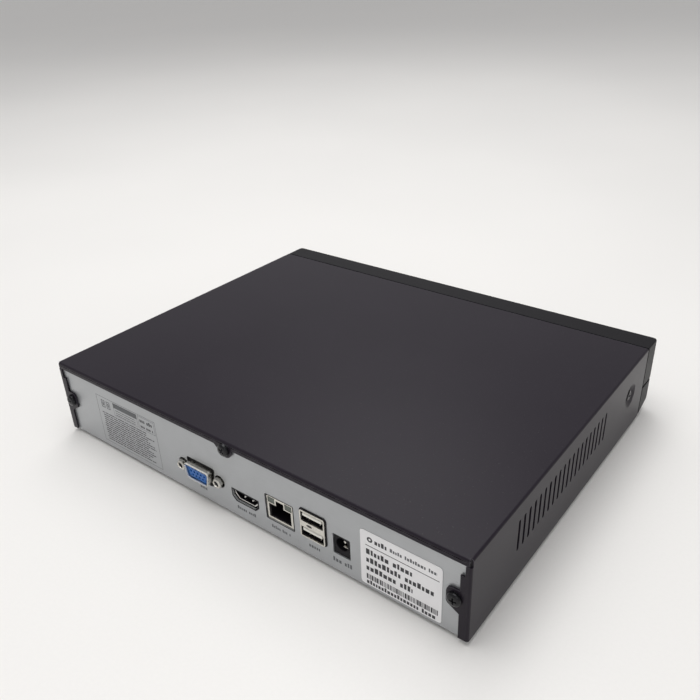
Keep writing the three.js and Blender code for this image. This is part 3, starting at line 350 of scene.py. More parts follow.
def tube(bm, points, radius, sides=10, index=0):
    """A round solid along a line of points in mm, closed at both ends."""
    points = [Vector(p) for p in points]
    rings, side = [], None
    for i, point in enumerate(points):
        along = (points[min(i + 1, len(points) - 1)] - points[max(i - 1, 0)]).normalized()
        if side is None:
            side = along.orthogonal().normalized()
        side = (side - along * side.dot(along)).normalized()
        other = along.cross(side)
        rings.append([bm.verts.new((point + radius * (math.cos(a) * side + math.sin(a) * other)) * MM)
                      for a in (2 * math.pi * k / sides for k in range(sides))])
    for a, b in zip(rings, rings[1:]):
        for k in range(sides):
            j = (k + 1) % sides
            bm.faces.new((a[k], a[j], b[j], b[k])).material_index = index
    for end in (rings[0], rings[-1]):
        bm.faces.new(end).material_index = index


def solid(shape, *args, **options):
    """A new mesh that holds one shape: a prism, a block or a turned solid."""
    bm = bmesh.new()
    shape(bm, *args, **options)
    return bm


def carved(bm, *cutters):
    """The solid with the cutters cut out of it, one after another."""
    for cutter in cutters:
        pair = []
        for source in (bm, cutter):
            bmesh.ops.recalc_face_normals(source, faces=source.faces)
            mesh = bpy.data.meshes.new("carving")
            source.to_mesh(mesh)
            source.free()
            pair.append(bpy.data.objects.new("carving", mesh))
            bpy.context.scene.collection.objects.link(pair[-1])
        modifier = pair[0].modifiers.new("cut", "BOOLEAN")
        modifier.operation, modifier.solver, modifier.object = "DIFFERENCE", "EXACT", pair[1]
        result = pair[0].evaluated_get(bpy.context.evaluated_depsgraph_get())
        bm = bmesh.new()
        bm.from_mesh(result.to_mesh())
        result.to_mesh_clear()
        for made in pair:
            mesh = made.data
            bpy.data.objects.remove(made)
            bpy.data.meshes.remove(mesh)
    return bm


def from_cad(node):
    """The node's solid as one clean mesh, its flat faces whole again."""
    bm = bmesh.new()
    bm.from_mesh(frame["nodes"][node].data)
    bmesh.ops.remove_doubles(bm, verts=bm.verts, dist=1e-6)
    bmesh.ops.dissolve_limit(bm, angle_limit=math.radians(1), verts=bm.verts, edges=bm.edges)
    return bm


def piece(name, bm, slot, finishes=None, replaces=(), rounding=0.0, body="chassis"):
    """Makes the mesh an object of the model, shaded smooth but for its sharp edges, which may be rounded."""
    bmesh.ops.recalc_face_normals(bm, faces=bm.faces)
    for face in bm.faces:
        face.smooth = True
    for edge in bm.edges:
        edge.smooth = bool(rounding) or edge.calc_face_angle(0.0) < SHARP
    mesh = bpy.data.meshes.new(name)
    bm.to_mesh(mesh)
    bm.free()
    for material in finishes or [FINISH[slot]]:
        mesh.materials.append(material)
    made = bpy.data.objects.new(name, mesh)
    bpy.context.scene.collection.objects.link(made)
    if rounding:
        bevel = made.modifiers.new("rounding", "BEVEL")
        bevel.width, bevel.segments, bevel.limit_method = rounding * MM, BEVEL_STEPS, "ANGLE"
        bevel.angle_limit, bevel.harden_normals = SHARP, True
    normals = made.modifiers.new("normals", "WEIGHTED_NORMAL")
    normals.keep_sharp = True
    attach(made, body)
    if replaces:
        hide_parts(*replaces)


def refined(name, node, rounding, *cutters):
    """A CAD node's shape with its edges rounded, and with cutters cut out of it."""
    piece(name, carved(from_cad(node), *cutters), SLOT_OF[node], replaces=[node], rounding=rounding,
          body=BODY_OF[node])


def ring_piece(name, outer, inner, y, ring_span, bore_span, rounding, slot="black_moulding", finishes=None):
    """A flat ring that faces along y: one outline with another cut out of it. Both spans start from y."""
    ring, bore = (solid(prism, "y", outline, y + span[0], y + span[1])
                  for outline, span in ((outer, ring_span), (inner, bore_span)))
    piece(name, carved(ring, bore), slot, finishes, rounding=rounding)


def corners(node):
    """A CAD node's lowest and highest corner in mm."""
    low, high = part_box(node)
    return low / MM, high / MM


def centre(node):
    """The middle of a CAD node's box in mm."""
    return sum(corners(node), Vector()) / 2


def around(low, high, gap, radius):
    """A rounded outline in x and z, a gap outside a box."""
    return rectangle(low.x - gap, high.x + gap, low.z - gap, high.z + gap, radius)


def mark(bm, axis, u0, u1, v0, v1, face, index=0):
    """A thin patch of ink on a flat face that looks along the axis."""
    prism(bm, axis, rectangle(min(u0, u1), max(u0, u1), v0, v1), face - INK_HALF, face + INK_HALF, index)


def small_print(bm, axis, start, end, v, height, face, index, letters):
    """A row of plain blocks, in groups, that stands for a row of small print. It may run either way."""
    way = 1 if end > start else -1
    u, left = start, random.randint(*letters)
    while (end - u) * way > 0:
        width = min(height * random.uniform(0.34, 0.62), (end - u) * way)
        rise = height * random.choice((0, 0, 0, 0.25))
        mark(bm, axis, u, u + way * width, v, v + height * 0.72 + rise, face, index)
        u += way * (width + height * 0.19)
        left -= 1
        if left == 0:
            u += way * height * 0.55
            left = random.randint(*letters)


def bar_code(bm, axis, start, end, v0, v1, face, widths, gaps):
    """A row of plain bars. It may run either way."""
    way = 1 if end > start else -1
    u = start
    while (end - u) * way > 0:
        width = random.choice(widths)
        mark(bm, axis, u, u + way * width, v0, v1, face)
        u += way * (width + random.choice(gaps))


def faint_rows(bm, axis, start, end, v, height, face, index):
    """A row of strips, as a line of print looks from afar."""
    way = 1 if end > start else -1
    u = start
    while (end - u) * way > 0:
        width = min(random.uniform(1.4, 6.5), (end - u) * way)
        mark(bm, axis, u, u + way * width, v, v + height, face, index)
        u += way * (width + height * 0.9)


def frame_lines(bm, axis, u0, u1, v0, v1, thick, face, index=0):
    """A rectangle drawn in four thin lines."""
    mark(bm, axis, u0, u1, v1 - thick, v1, face, index)
    mark(bm, axis, u0, u1, v0, v0 + thick, face, index)
    mark(bm, axis, u0, u0 + thick, v0 + thick, v1 - thick, face, index)
    mark(bm, axis, u1 - thick, u1, v0 + thick, v1 - thick, face, index)


# ---- sheet metal, bezel and feet
random.seed(11)
low, high = corners("top_cover")
crease = solid(prism, "x", [(99.9, 42.7), (101, 42.55), (101, 43.25), (99.9, 43.1)], low.x + 2.5,
               high.x - 2.5)
refined("cover_shell", "top_cover", 0.16, crease)
refined("tray_shell", "chassis_tray", 0.12)

# A shallow rebate makes the dark seam between the bezel and the cover, along the top and down both sides
SEAM_WIDE, SEAM_DEEP = 0.8, 0.6
seam_y = low.y - 0.3 - SEAM_WIDE
rebates = [solid(block, x0, x1, seam_y, low.y, z0, high.z + 1) for x0, x1, z0 in (
    (low.x - 1, high.x + 1, high.z - SEAM_DEEP), (low.x - 1, low.x + SEAM_DEEP, 0),
    (high.x - SEAM_DEEP, high.x + 1, 0))]
refined("bezel_moulding", "front_bezel", 0.2, *rebates)
refined("lens_window", "front_lens", 0.3)

for place in ("front_left", "front_right", "rear_left", "rear_right"):
    low, high = corners("foot_" + place)
    middle, radius = (low + high) / 2, (high.x - low.x) / 2
    pad = solid(turned, "z", (middle.x, middle.y, 0), [
        (0, 0.25), (radius * 0.55, 0.25), (radius * 0.62, 0), (radius - 0.9, 0), (radius - 0.35, 0.12),
        (radius - 0.06, 0.4), (radius, 0.75), (radius - 0.05, high.z - 0.1), (radius - 0.2, high.z),
        (0, high.z),
    ], 40)
    piece("foot_pad_" + place, pad, "rubber", replaces=["foot_" + place])


# ---- screws
THREAD_PITCH = 0.5


def cross_recess(top, reach, depth):
    """Two crossed tapering blades that sink into a screw's head."""
    cutters = []
    for quarter in (0, 1):
        bm = bmesh.new()
        # Each level is a height, half a length and half a width
        levels = [(top + 0.5, reach, 0.42), (top, reach, 0.4), (top - depth, reach * 0.4, 0.28)]
        rings = []
        for z, length, width in levels:
            ring = [(length, width), (-length, width), (-length, -width), (length, -width)]
            rings.append([bm.verts.new(Vector((v, -u, z) if quarter else (u, v, z)) * MM) for u, v in ring])
        for a, b in zip(rings, rings[1:]):
            for k in range(4):
                bm.faces.new((a[k], a[(k + 1) % 4], b[(k + 1) % 4], b[k]))
        bm.faces.new(rings[0])
        bm.faces.new(rings[-1])
        cutters.append(bm)
    return cutters


def screw(name, node, axis, facing, head, height, shank, length, slot, spin):
    """A pan-headed screw with a cross recess and a threaded shank. Its head faces along the axis, + or -."""
    profile = [(0, -length), (shank * 0.6, -length), (shank, -length + 0.4)]
    for i in range(int((length - 1.4) / THREAD_PITCH)):
        start = THREAD_PITCH * (i + 1) - length
        profile += [(shank, start), (shank * 0.84, start + THREAD_PITCH / 2)]
    profile += [(shank * 0.9, -0.6), (shank * 0.9, 0), (head * 0.97, 0), (head, 0.08)]
    profile += [(head, height * 0.34), (head * 0.985, height * 0.5), (head * 0.93, height * 0.68),
                (head * 0.8, height * 0.85), (head * 0.6, height * 0.95), (head * 0.3, height), (0, height)]
    bm = carved(solid(turned, "z", (0, 0, 0), profile, 40), *cross_recess(height, head * 0.56, height * 0.75))
    low, high = corners(node)
    at, towards, k = centre(node), Vector((0, 0, 0)), "xyz".index(axis)
    at[k] = high[k] - height if facing > 0 else low[k] + height
    towards[k] = facing
    turn = Vector((0, 0, 1)).rotation_difference(towards).to_matrix()
    turn = turn @ Matrix.Rotation(math.radians(spin), 3, "Z")
    bm.transform(Matrix.Translation(at * MM) @ turn.to_4x4())
    piece(name, bm, slot, replaces=[node], body=BODY_OF[node])


for place, spin in (("left", 20), ("middle", 55), ("right", 5)):
    screw("rear_screw_" + place, "cover_screw_rear_" + place, "y", 1, 3.2, 2.0, 1.5, 6, "black_zinc", spin)
for place, facing, spin in (("left", 1, 35), ("right", -1, 70)):
    screw("side_screw_" + place, "cover_screw_side_" + place, "x", facing, 3.0, 1.5, 1.5, 2.6, "black_zinc",
          spin)
for i in range(1, 5):
    screw(f"board_fixing_{i}", f"board_screw_{i}", "z", 1, 2.9, 1.8, 1.5, 5.5, "nickel_plate", 23 * i)
    screw(f"disk_fixing_{i}", f"disk_screw_{i}", "z", -1, 3.4, 1.8, 1.75, 6, "nickel_plate", 31 * i)


# ---- display socket
PIN_PITCH, ROW_PITCH, ROW_SHIFT = 2.29, 1.98, 1.15
refined("display_housing", "vga_housing", 0.2)
for place in ("left", "right"):
    low, high = corners("vga_post_" + place)
    at = ((low.x + high.x) / 2, 0, (low.z + high.z) / 2)
    wide, tall = high.x - low.x, high.z - low.z
    radius = wide / math.sqrt(3) if wide < tall else wide / 2
    nut = solid(turned, "y", at, [(0, low.y + 2), (radius, low.y + 2), (radius, high.y - 0.5),
                                  (radius * 0.8, high.y), (0, high.y)], 6)
    turned(nut, "y", at, rod(1.4, low.y, low.y + 1.9), 24)
    bore = solid(turned, "y", at, [(0, high.y - 5.2), (1.35, high.y - 5), (1.35, high.y - 0.45),
                                   (1.75, high.y + 0.05), (0, high.y + 0.05)], 28)
    piece("display_post_" + place, carved(nut, bore), "nickel_plate", replaces=["vga_post_" + place],
          rounding=0.12)
    # The thread inside the bore is black zinc, darker than the nickel post: painted shade that keeps the hole
    # dark.
    coils = [(1.34 if k % 2 else 1.08, high.y - 5 + THREAD_PITCH / 2 * k) for k in range(18)]
    thread = solid(turned, "y", at, [(1.34, high.y - 5), *coils, (1.34, high.y - 0.6)], 28, closed=True)
    turned(thread, "y", at, rod(1.3, high.y - 5, high.y - 4.6), 28)
    piece("post_thread_" + place, thread, "black_zinc")

vga, insert_y = centre("vga_insert"), corners("vga_insert")[1].y


def d_outline(width, height, radius, steps=5):
    """The D shape of the display socket about its centre, its long side up."""
    lean = height * math.tan(math.radians(10))
    ends = [(width / 2 - lean, -height / 2), (width / 2, height / 2), (-width / 2, height / 2),
            (-width / 2 + lean, -height / 2)]
    points = []
    for i, corner in enumerate(ends):
        corner = Vector(corner)
        start = corner + (Vector(ends[i - 1]) - corner).normalized() * radius
        end = corner + (Vector(ends[(i + 1) % 4]) - corner).normalized() * radius
        for step in range(steps + 1):
            t = step / steps
            points.append((1 - t) ** 2 * start + 2 * t * (1 - t) * corner + t * t * end)
    return [(vga.x + u, vga.z + v) for u, v in points]


panel_y = corners("chassis_tray")[1].y
shell_y = corners("vga_shell")[1].y
# Black rings at the hole's edge and behind the panel: painted shade that keeps the gap round the shell dark.
ring_piece("display_lip", d_outline(19.6, 11.4, 1.8), d_outline(18.7, 10.5, 1.6), panel_y, (0, 0.1), (-2, 1),
           0.1)
ring_piece("display_gasket", d_outline(19.0, 10.8, 1.8), d_outline(16.95, 8.45, 2.0), panel_y, (-0.9, -0.4),
           (-2, 1), 0.06)
refined("display_shell", "vga_shell", 0.1)
# The shell's front rim gets the pale rim finish: a painted highlight.
ring_piece("display_shell_rim", d_outline(17.1, 8.6, 2.1, 8), d_outline(15.9, 7.4, 1.6, 8), shell_y,
           (-0.75, 0), (-2, 1), 0.12, "nickel_plate", [LIT_RIM])
pins = bmesh.new()
for rise, shift in ((ROW_PITCH, 0), (0, ROW_SHIFT), (-ROW_PITCH, 0)):
    for column in range(-2, 3):
        turned(pins, "y", (vga.x + shift - 0.58 + column * PIN_PITCH, insert_y, vga.z + rise),
               [(0, -2.6), (0.5, -2.6), (0.5, -0.3), (0.8, 0.2), (0, 0.2)], 12)
refined("display_insert", "vga_insert", 0.0, pins)


# ---- high definition socket
HD_PITCH, HD_CORNER = 0.5, 2.4
refined("hdmi_can", "hdmi_shell", 0.08)
refined("hdmi_blade", "hdmi_tongue", 0.12)
hd_low, hd_high = corners("hdmi_shell")
hd_x, tongue_y = centre("hdmi_tongue").x, corners("hdmi_tongue")[1].y


def hdmi_outline(inset):
    """The socket's mouth, its lower corners cut off."""
    x0, x1 = hd_low.x + inset, hd_high.x - inset
    z0, z1 = hd_low.z + inset, hd_high.z - inset
    return [(x0 + HD_CORNER, z0), (x1 - HD_CORNER, z0), (x1, z0 + HD_CORNER), (x1, z1), (x0, z1),
            (x0, z0 + HD_CORNER)]


# The socket's rim gets the pale rim finish: a painted highlight.
ring_piece("hdmi_rim", hdmi_outline(0.02), hdmi_outline(0.46), hd_high.y, (0.02, 0.35), (-1, 2), 0.07,
           "nickel_plate", [LIT_RIM])
# A black lip at the hole's edge and a black collar behind the panel: painted shade for the gap round the
# socket.
ring_piece("hdmi_lip", hdmi_outline(-1.15), hdmi_outline(-0.52), panel_y, (0, 0.1), (-1, 1), 0.03)
ring_piece("hdmi_collar", rectangle(hd_low.x - 1.8, hd_high.x + 1.8, hd_low.z - 1.3, hd_high.z + 1.6, 0.6),
           hdmi_outline(-0.02), hd_high.y, (-0.75, -0.2), (-2, 1), 0.06)
# A black lining of the mouth's walls: painted shade for the socket's interior.
liner = solid(prism, "y", hdmi_outline(0.47), hd_low.y + 0.55, hd_high.y + 0.28)
bore = solid(prism, "y", hdmi_outline(0.7), hd_low.y + 3.5, hd_high.y + 1)
piece("hdmi_liner", carved(liner, bore, from_cad("hdmi_tongue")), "black_moulding")
contacts = bmesh.new()
for i in range(-9, 10):
    x, z = hd_x + i * HD_PITCH, hd_high.z - (3.6 if i % 2 else 2.3)
    block(contacts, x - 0.13, x + 0.13, tongue_y - 5, tongue_y - 0.35, z - 0.04, z + 0.04)
for side in (-1, 1):
    turned(contacts, "y", (hd_x + side * 2.5, hd_high.y, hd_low.z + 1.45),
           [(0, -3), (0.5, -3), (0.5, -0.9), (0.3, -0.6), (0, -0.5)], 16, 1)
# The two round pins low in the mouth get the pale rim finish: a painted highlight.
piece("hdmi_contacts", contacts, "nickel_plate", [FINISH["nickel_plate"], LIT_RIM])


# ---- network socket
LAN_PITCH = 1.02
LAN_CONTACT = ((11.4, 5.6), (10.4, 5.0), (6.8, 2.2), (5.6, 1.2), (5.0, 0.9))  # how far back and how high
refined("network_can", "lan_shell", 0.14)
refined("network_insert", "lan_insert", 0.12)
low, high = corners("lan_insert")
lan_x = (low.x + high.x) / 2
contacts = bmesh.new()
for i in range(8):
    x = lan_x + (i - 3.5) * LAN_PITCH
    tube(contacts, [(x, high.y - back, low.z + rise) for back, rise in LAN_CONTACT], 0.2, 8)
piece("network_contacts", contacts, "nickel_plate", [GOLD])
low, high = corners("lan_shell")
front, floor_z, roof_z = high.y, low.z + 1.45, high.z - 4.6
latch_z = roof_z + 2.9
plate = solid(prism, "y", around(low, high, -0.05, 0.3), front - 0.42, front - 0.02)
mouth = solid(prism, "y", [
    (lan_x - 6.4, floor_z), (lan_x + 6.6, floor_z), (lan_x + 6.6, roof_z), (lan_x + 2.2, roof_z),
    (lan_x + 2.2, latch_z), (lan_x - 2.3, latch_z), (lan_x - 2.3, roof_z), (lan_x - 6.4, roof_z),
], front - 2, front + 1)
panes, lights = bmesh.new(), bmesh.new()
for x in (lan_x - 5.05, lan_x + 5.05):
    block(panes, x - 2.05, x + 2.05, front - 2, front + 1, roof_z + 0.55, roof_z + 3.7)
    block(lights, x - 2, x + 2, front - 0.45, front - 0.2, roof_z + 0.6, roof_z + 3.65, chamfer=0.12)
piece("network_plate", carved(plate, mouth, panes), "nickel_plate", rounding=0.12)
piece("network_lights", lights, "white_moulding", [LIGHT_PIPE])
# A black ring round the can at the panel face: painted shade for the gap round the socket.
ring_piece("network_lip", rectangle(low.x - 0.42, high.x + 0.42, low.z - 0.42, high.z + 0.3, 0.6),
           around(low, high, 0.02, 0.3), panel_y, (0, 0.14), (-1, 1), 0.05)


# ---- serial-bus sockets
USB_PITCH = 2.4
refined("usb_can", "usb_shell", 0.16)
refined("usb_blades", "usb_insert", 0.15)
low, high = corners("usb_shell")
usb_x = (low.x + high.x) / 2
board_top = corners("main_board")[1].z
MOUTHS, MOUTH_HEIGHT = (board_top + 2.0, board_top + 10.2), 5.1
SPRING = ((4.2, -0.4), (3.2, 0.2), (2.4, 0.3), (1.6, -0.3))  # how far back and how high
contacts, springs, liner, bores, tips = (bmesh.new() for part in range(5))
for mouth in MOUTHS:
    top = mouth + MOUTH_HEIGHT
    for i in range(4):
        x = usb_x + (i - 1.5) * USB_PITCH
        block(contacts, x - 0.5, x + 0.5, high.y - 9, high.y - 1.6, mouth + 2.95, mouth + 3.15, chamfer=0.05)
    for x in (usb_x - 3.1, usb_x + 3.1):
        tube(springs, [(x, high.y - back, mouth + rise) for back, rise in SPRING], 0.4)
    # The liner is a black lining of the mouth walls: painted shade.
    block(liner, usb_x - 6.19, usb_x + 6.19, high.y - 11.4, high.y - 0.7, mouth + 0.01, top - 0.01)
    block(bores, usb_x - 5.95, usb_x + 5.95, high.y - 11.2, high.y + 1, mouth + 0.25, top - 0.25)
    block(tips, usb_x - 5.25, usb_x + 5.25, high.y - 0.65, high.y - 0.12, mouth + 2.95, mouth + 4.45,
          chamfer=0.15)
middle = (MOUTHS[0] + MOUTH_HEIGHT + MOUTHS[1]) / 2
oval = [(usb_x + 1.6 + 1.55 * math.cos(math.radians(9 * k)), middle + 0.62 * math.sin(math.radians(9 * k)))
        for k in range(40)]
piece("usb_stamp", solid(prism, "y", oval, high.y - 0.3, high.y + 0.02), "black_zinc", rounding=0.02)
# A black ring round the cans at the panel face: painted shade for the gap round the sockets.
ring_piece("usb_surround", rectangle(low.x - 0.62, high.x + 0.62, low.z - 0.6, high.z + 0.6, 1.7),
           around(low, high, 0.02, 1.2), panel_y, (0, 0.3), (-3, 1), 0.1)
piece("usb_tongue_tips", tips, "white_moulding")
# Black lining on the mouths' inner walls: painted shade.
piece("usb_liner", carved(liner, bores, from_cad("usb_insert")), "black_moulding")
piece("usb_contacts", contacts, "nickel_plate", [GOLD])
piece("usb_springs", springs, "nickel_plate")


# ---- power inlet
refined("inlet_body", "dc_jack_body", 0.18)
refined("inlet_pin", "dc_jack_pin", 0.1)
mouth_y, bore = corners("dc_jack_body")[1].y, centre("dc_jack_pin")
leaf = [(mouth_y - back, bore.z - drop) for back, drop in (
    (9, 2.9), (8.7, 2.9), (2.2, 1.55), (0.7, 1.6), (0.7, 1.3), (2.2, 1.25), (9, 2.6))]
piece("inlet_spring", solid(prism, "x", leaf, bore.x - 2.5, bore.x - 0.1), "nickel_plate", rounding=0.08)


# ---- the small board behind the lens
refined("indicator_laminate", "indicator_board", 0.1)
lens_low, lens_high = corners("front_lens")
lens_z = (lens_low.z + lens_high.z) / 2
board_low, board_high = corners("indicator_board")
lamps, window = bmesh.new(), bmesh.new()
for x in (-104, -97, -90):
    turned(lamps, "y", (x, board_low.y, lens_z), [
        (0, -4.4), (0.8, -4.2), (1.4, -3.6), (1.5, -3.0), (1.5, -0.6), (1.8, -0.5), (1.8, -0.05),
        (0, -0.05)], 24)
    turned(window, "y", (x, lens_low.y, lens_z),
           [(0, -0.04), (0.7, -0.04), (0.8, 0.02), (0.8, 0.2), (0, 0.2)], 24)
piece("indicator_lamps", lamps, "white_moulding", [LIGHT_PIPE])
piece("lens_pips", window, "smoked_window", [LIGHT_PIPE])
receiver = solid(block, -72, -66, board_low.y - 4, board_low.y - 0.1, lens_low.z + 0.6, lens_high.z - 0.4,
                 chamfer=0.4)
turned(receiver, "y", (-69, board_low.y, lens_z),
       [(0, -5.2), (1.2, -5.0), (2.0, -4.4), (2.3, -3.9), (0, -3.9)], 24)
piece("remote_receiver", receiver, "chip_plastic")


# ---- main board
refined("heat_sink_fins", "heat_sink", 0.14)
refined("battery_cradle", "battery_holder", 0.2)
refined("coin_cell", "clock_battery", 0.15)
refined("buzzer_can", "buzzer", 0.4)
refined("disk_power_shroud", "disk_power_header", 0.15)
refined("disk_data_shroud", "disk_data_socket", 0.15)
for i in range(1, 5):
    refined(f"standoff_{i}", f"board_standoff_{i}", 0.18)

BLACK, METAL, CAN, TAN, GILT = range(5)
BOARD_FINISHES = [FINISH["chip_plastic"], FINISH["nickel_plate"], FINISH["aluminium"], CERAMIC, GOLD]
LEG = ((-0.1, 0.4, 0.35, 0.5), (0.25, 0.4, 0.1, 0.5), (0.25, 0.95, 0.02, 0.17))  # shoulder, drop and foot
LEG_HALF = 0.13
LINE = 0.18  # width of the printed outlines
HEADER_PITCH = 2.54
SMALL_PARTS = 95
deck = board_top + 0.02
parts, legend = bmesh.new(), bmesh.new()


def legged_chip(x, y, half_x, half_y, height, legs, sides="xy"):
    """A moulded chip with bent legs along two or four sides, and its outline printed round it."""
    centred(parts, (x, y), half_x, half_y, deck + 0.15, deck + height, BLACK, 0.18)
    turned(parts, "z", (x - half_x + 1.1, y - half_y + 1.1, deck + height), rod(0.4, -0.1, 0.02), 16, METAL)
    for along, across, length in (("x", half_y, half_x), ("y", half_x, half_y)):
        for i in range(legs if along in sides else 0):
            at = (i - (legs - 1) / 2) * (2 * length - 1.2) / (legs - 1)
            for side in (-1, 1):
                for near, far, z0, z1 in LEG:
                    a, b = sorted((side * (across + near), side * (across + far)))
                    spot = (x + at - LEG_HALF, x + at + LEG_HALF, y + a, y + b)
                    if along == "y":
                        spot = (x + a, x + b, y + at - LEG_HALF, y + at + LEG_HALF)
                    block(parts, *spot, deck + z0, deck + z1, METAL)
    u, v = half_x + 1.4, half_y + 1.4
    frame_lines(legend, "z", x - u, x + u, y - v, y + v, LINE, board_top)


def can_capacitor(x, y, radius, height):
    """An upright capacitor: a dark sleeve, and a bare metal top with a scored cross."""
    turned(parts, "z", (x, y, deck), [
        (0, 0), (radius - 0.1, 0), (radius, 0.5), (radius - 0.25, 1.1), (radius, 1.7), (radius, height - 0.5),
        (radius - 0.3, height - 0.15), (radius - 0.5, height - 0.1), (0, height - 0.1)], 32, BLACK)
    turned(parts, "z", (x, y, deck), [
        (0, height - 0.3), (radius - 0.55, height - 0.3), (radius - 0.6, height), (0, height - 0.05)], 32, CAN)
    for a, b in ((radius * 0.6, 0.1), (0.1, radius * 0.6)):
        centred(parts, (x, y), a, b, deck + height - 0.2, deck + height + 0.03, BLACK)


for chip in ((8.5, 72, 6, 4.2, 1.2, 12, "x"), (-49, 58, 4.2, 6, 1.2, 12, "y"),
             (-49, 42.5, 4.2, 5.5, 1.2, 11, "y"), (-50, 75, 3.5, 3.5, 1.0, 9),
             (-60.5, 48, 2.6, 2.5, 1.6, 4, "x"), (-31.5, 78.4, 8, 2.4, 5.6, 8, "x")):
    legged_chip(*chip)
for can in ((-66, 76.8, 3.2, 8), (-72.8, 60, 2.6, 7), (-72.8, 53, 2.6, 7), (27, 69.5, 3.2, 8),
            (32.5, 62.8, 2.6, 6.5)):
    can_capacitor(*can)
for x, y, half, height in ((-31, 29, 3.4, 4), (-21.5, 28.6, 2.6, 3)):
    centred(parts, (x, y), half, half, deck, deck + height * 0.3, BLACK, 0.2)
    turned(parts, "z", (x, y, deck), [
        (0, 0.5), (half * 0.8, 0.5), (half * 0.86, height * 0.4), (half * 0.86, height - 0.3),
        (half * 0.8, height), (0, height)], 28, BLACK)
for x, y in ((-9, 79.4), (24, 30.4)):
    prism(parts, "z", rectangle(x - 5.4, x + 5.4, y - 2.3, y + 2.3, 2.2), deck + 0.1, deck + 0.6, METAL)
    prism(parts, "z", rectangle(x - 4.9, x + 4.9, y - 1.8, y + 1.8, 1.75), deck + 0.5, deck + 3.4, METAL)
block(parts, -8, 5, 25.6, 30.8, deck, deck + 2.5, BLACK, 0.15)
for column in range(5):
    for row in range(2):
        at = (-6.6 + column * HEADER_PITCH, 26.95 + row * HEADER_PITCH)
        centred(parts, at, 0.32, 0.32, deck + 2.4, deck + 8.5, GILT, 0.12)
for i in range(1, 5):
    fixing = centre(f"board_screw_{i}")
    turned(parts, "z", (fixing.x, fixing.y, board_top),
           [(1.9, -0.01), (3.7, -0.01), (3.7, 0.04), (1.9, 0.04)], 32, GILT, closed=True)
block(parts, 18, 22, 33.5, 46, deck + 5.0, deck + 5.35, METAL, 0.1)
block(parts, 18, 22, 33.5, 33.9, deck + 1.6, deck + 5.3, METAL, 0.1)

# Where the small parts stay clear of the larger ones: x from and to, y from and to
TAKEN = [(-40.5, 0.5, 35, 75.5), (6.5, 33.5, 33, 64), (-73.5, -58.5, 55, 69.5), (-52, -36.5, 25, 33.5),
         (-71, -53.5, 30.5, 38), (-77, -67.5, 23, 46), (28, 37, 23.5, 33), (28, 37, 58, 79),
         (-77, -68.5, 68, 79.5), (-71, -61.5, 72, 98), (-59.5, -43, 81, 98), (-41, -22.5, 74, 98),
         (-19, -1, 75.5, 98), (2, 37, 83, 98), (0.5, 16.5, 65.5, 78.5), (-55.5, -42.5, 33.5, 81),
         (-64.5, -56.5, 43, 53.5), (-35.5, -17.5, 24, 33.5), (-9.5, 6.5, 24, 32.5), (17.5, 30.5, 26.5, 34),
         (23, 36.5, 59, 73.5), (-76, -69, 49.5, 63)]
placed = []
while len(placed) < SMALL_PARTS:
    x, y = random.uniform(-75, 35), random.uniform(25, 95)
    turned_round = random.random() < 0.5
    if any(a - 1 < x < b + 1 and c - 1 < y < d + 1 for a, b, c, d in TAKEN):
        continue
    if any(abs(x - a) < 1.9 and abs(y - b) < 1.9 for a, b in placed):
        continue
    placed.append((x, y))
    core = random.choice((TAN, TAN, BLACK))
    for u0, u1, v, z, index in ((-0.8, -0.45, 0.42, 0.5, METAL), (-0.5, 0.5, 0.4, 0.48, core),
                                (0.45, 0.8, 0.42, 0.5, METAL)):
        spot = (x - v, x + v, y + u0, y + u1) if turned_round else (x + u0, x + u1, y - v, y + v)
        block(parts, *spot, deck, deck + z, index)
piece("board_parts", parts, "chip_plastic", BOARD_FINISHES)
for spot in ((-37, -26, 24.6, 33.4), (-67, -54, 30.8, 37.9), (-51, -37, 25.6, 32.9), (-9, 6, 24.8, 31.6)):
    frame_lines(legend, "z", *spot, LINE, board_top)
piece("board_legend", legend, "circuit_board", [WHITE_INK])


# ---- hard disk
refined("disk_casting", "disk_base", 0.35)
low, high = corners("disk_lid")
spindle = centre("disk_platter")
lid_top = low.z + 0.5
lid = solid(prism, "z", rectangle(low.x, high.x, low.y, high.y, 4, 6), low.z, lid_top)
raised = [(spindle.x + 46.4 * math.cos(a), spindle.y + 46.4 * math.sin(a))
          for a in (math.radians(-90 + 180 * k / 40) for k in range(41))]
for centre_y, first in ((high.y - 15.4, 90), (low.y + 15.4, 180)):
    raised += [(low.x + 21 + 12 * math.cos(math.radians(first + 9 * k)),
                centre_y + 12 * math.sin(math.radians(first + 9 * k))) for k in range(11)]
plateau = solid(prism, "z", raised, low.z + 0.3, high.z)
hub = (spindle.x, spindle.y, high.z)
groove = solid(turned, "z", hub, [(33, -0.25), (34.2, -0.25), (34.5, 0.3), (32.7, 0.3)], 64, closed=True)
boss = solid(turned, "z", hub, [(0, -0.3), (6.2, -0.3), (6.6, 0.3), (0, 0.3)], 40)
piece("disk_cover", lid, "disk_lid_steel", replaces=["disk_lid"], rounding=0.15)
piece("disk_cover_plateau", carved(plateau, groove, boss), "disk_lid_steel", rounding=0.3)

under, over = corners("disk_platter")
rim, bore_radius = (over.x - under.x) / 2, 12.6
disc = solid(turned, "z", (spindle.x, spindle.y, 0), [
    (bore_radius, under.z), (rim - 0.25, under.z), (rim, under.z + 0.3), (rim, over.z - 0.3),
    (rim - 0.25, over.z), (bore_radius, over.z)], 128, closed=True)
piece("disk_platter_disc", disc, SLOT_OF["disk_platter"], replaces=["disk_platter"], body="disk_spindle")

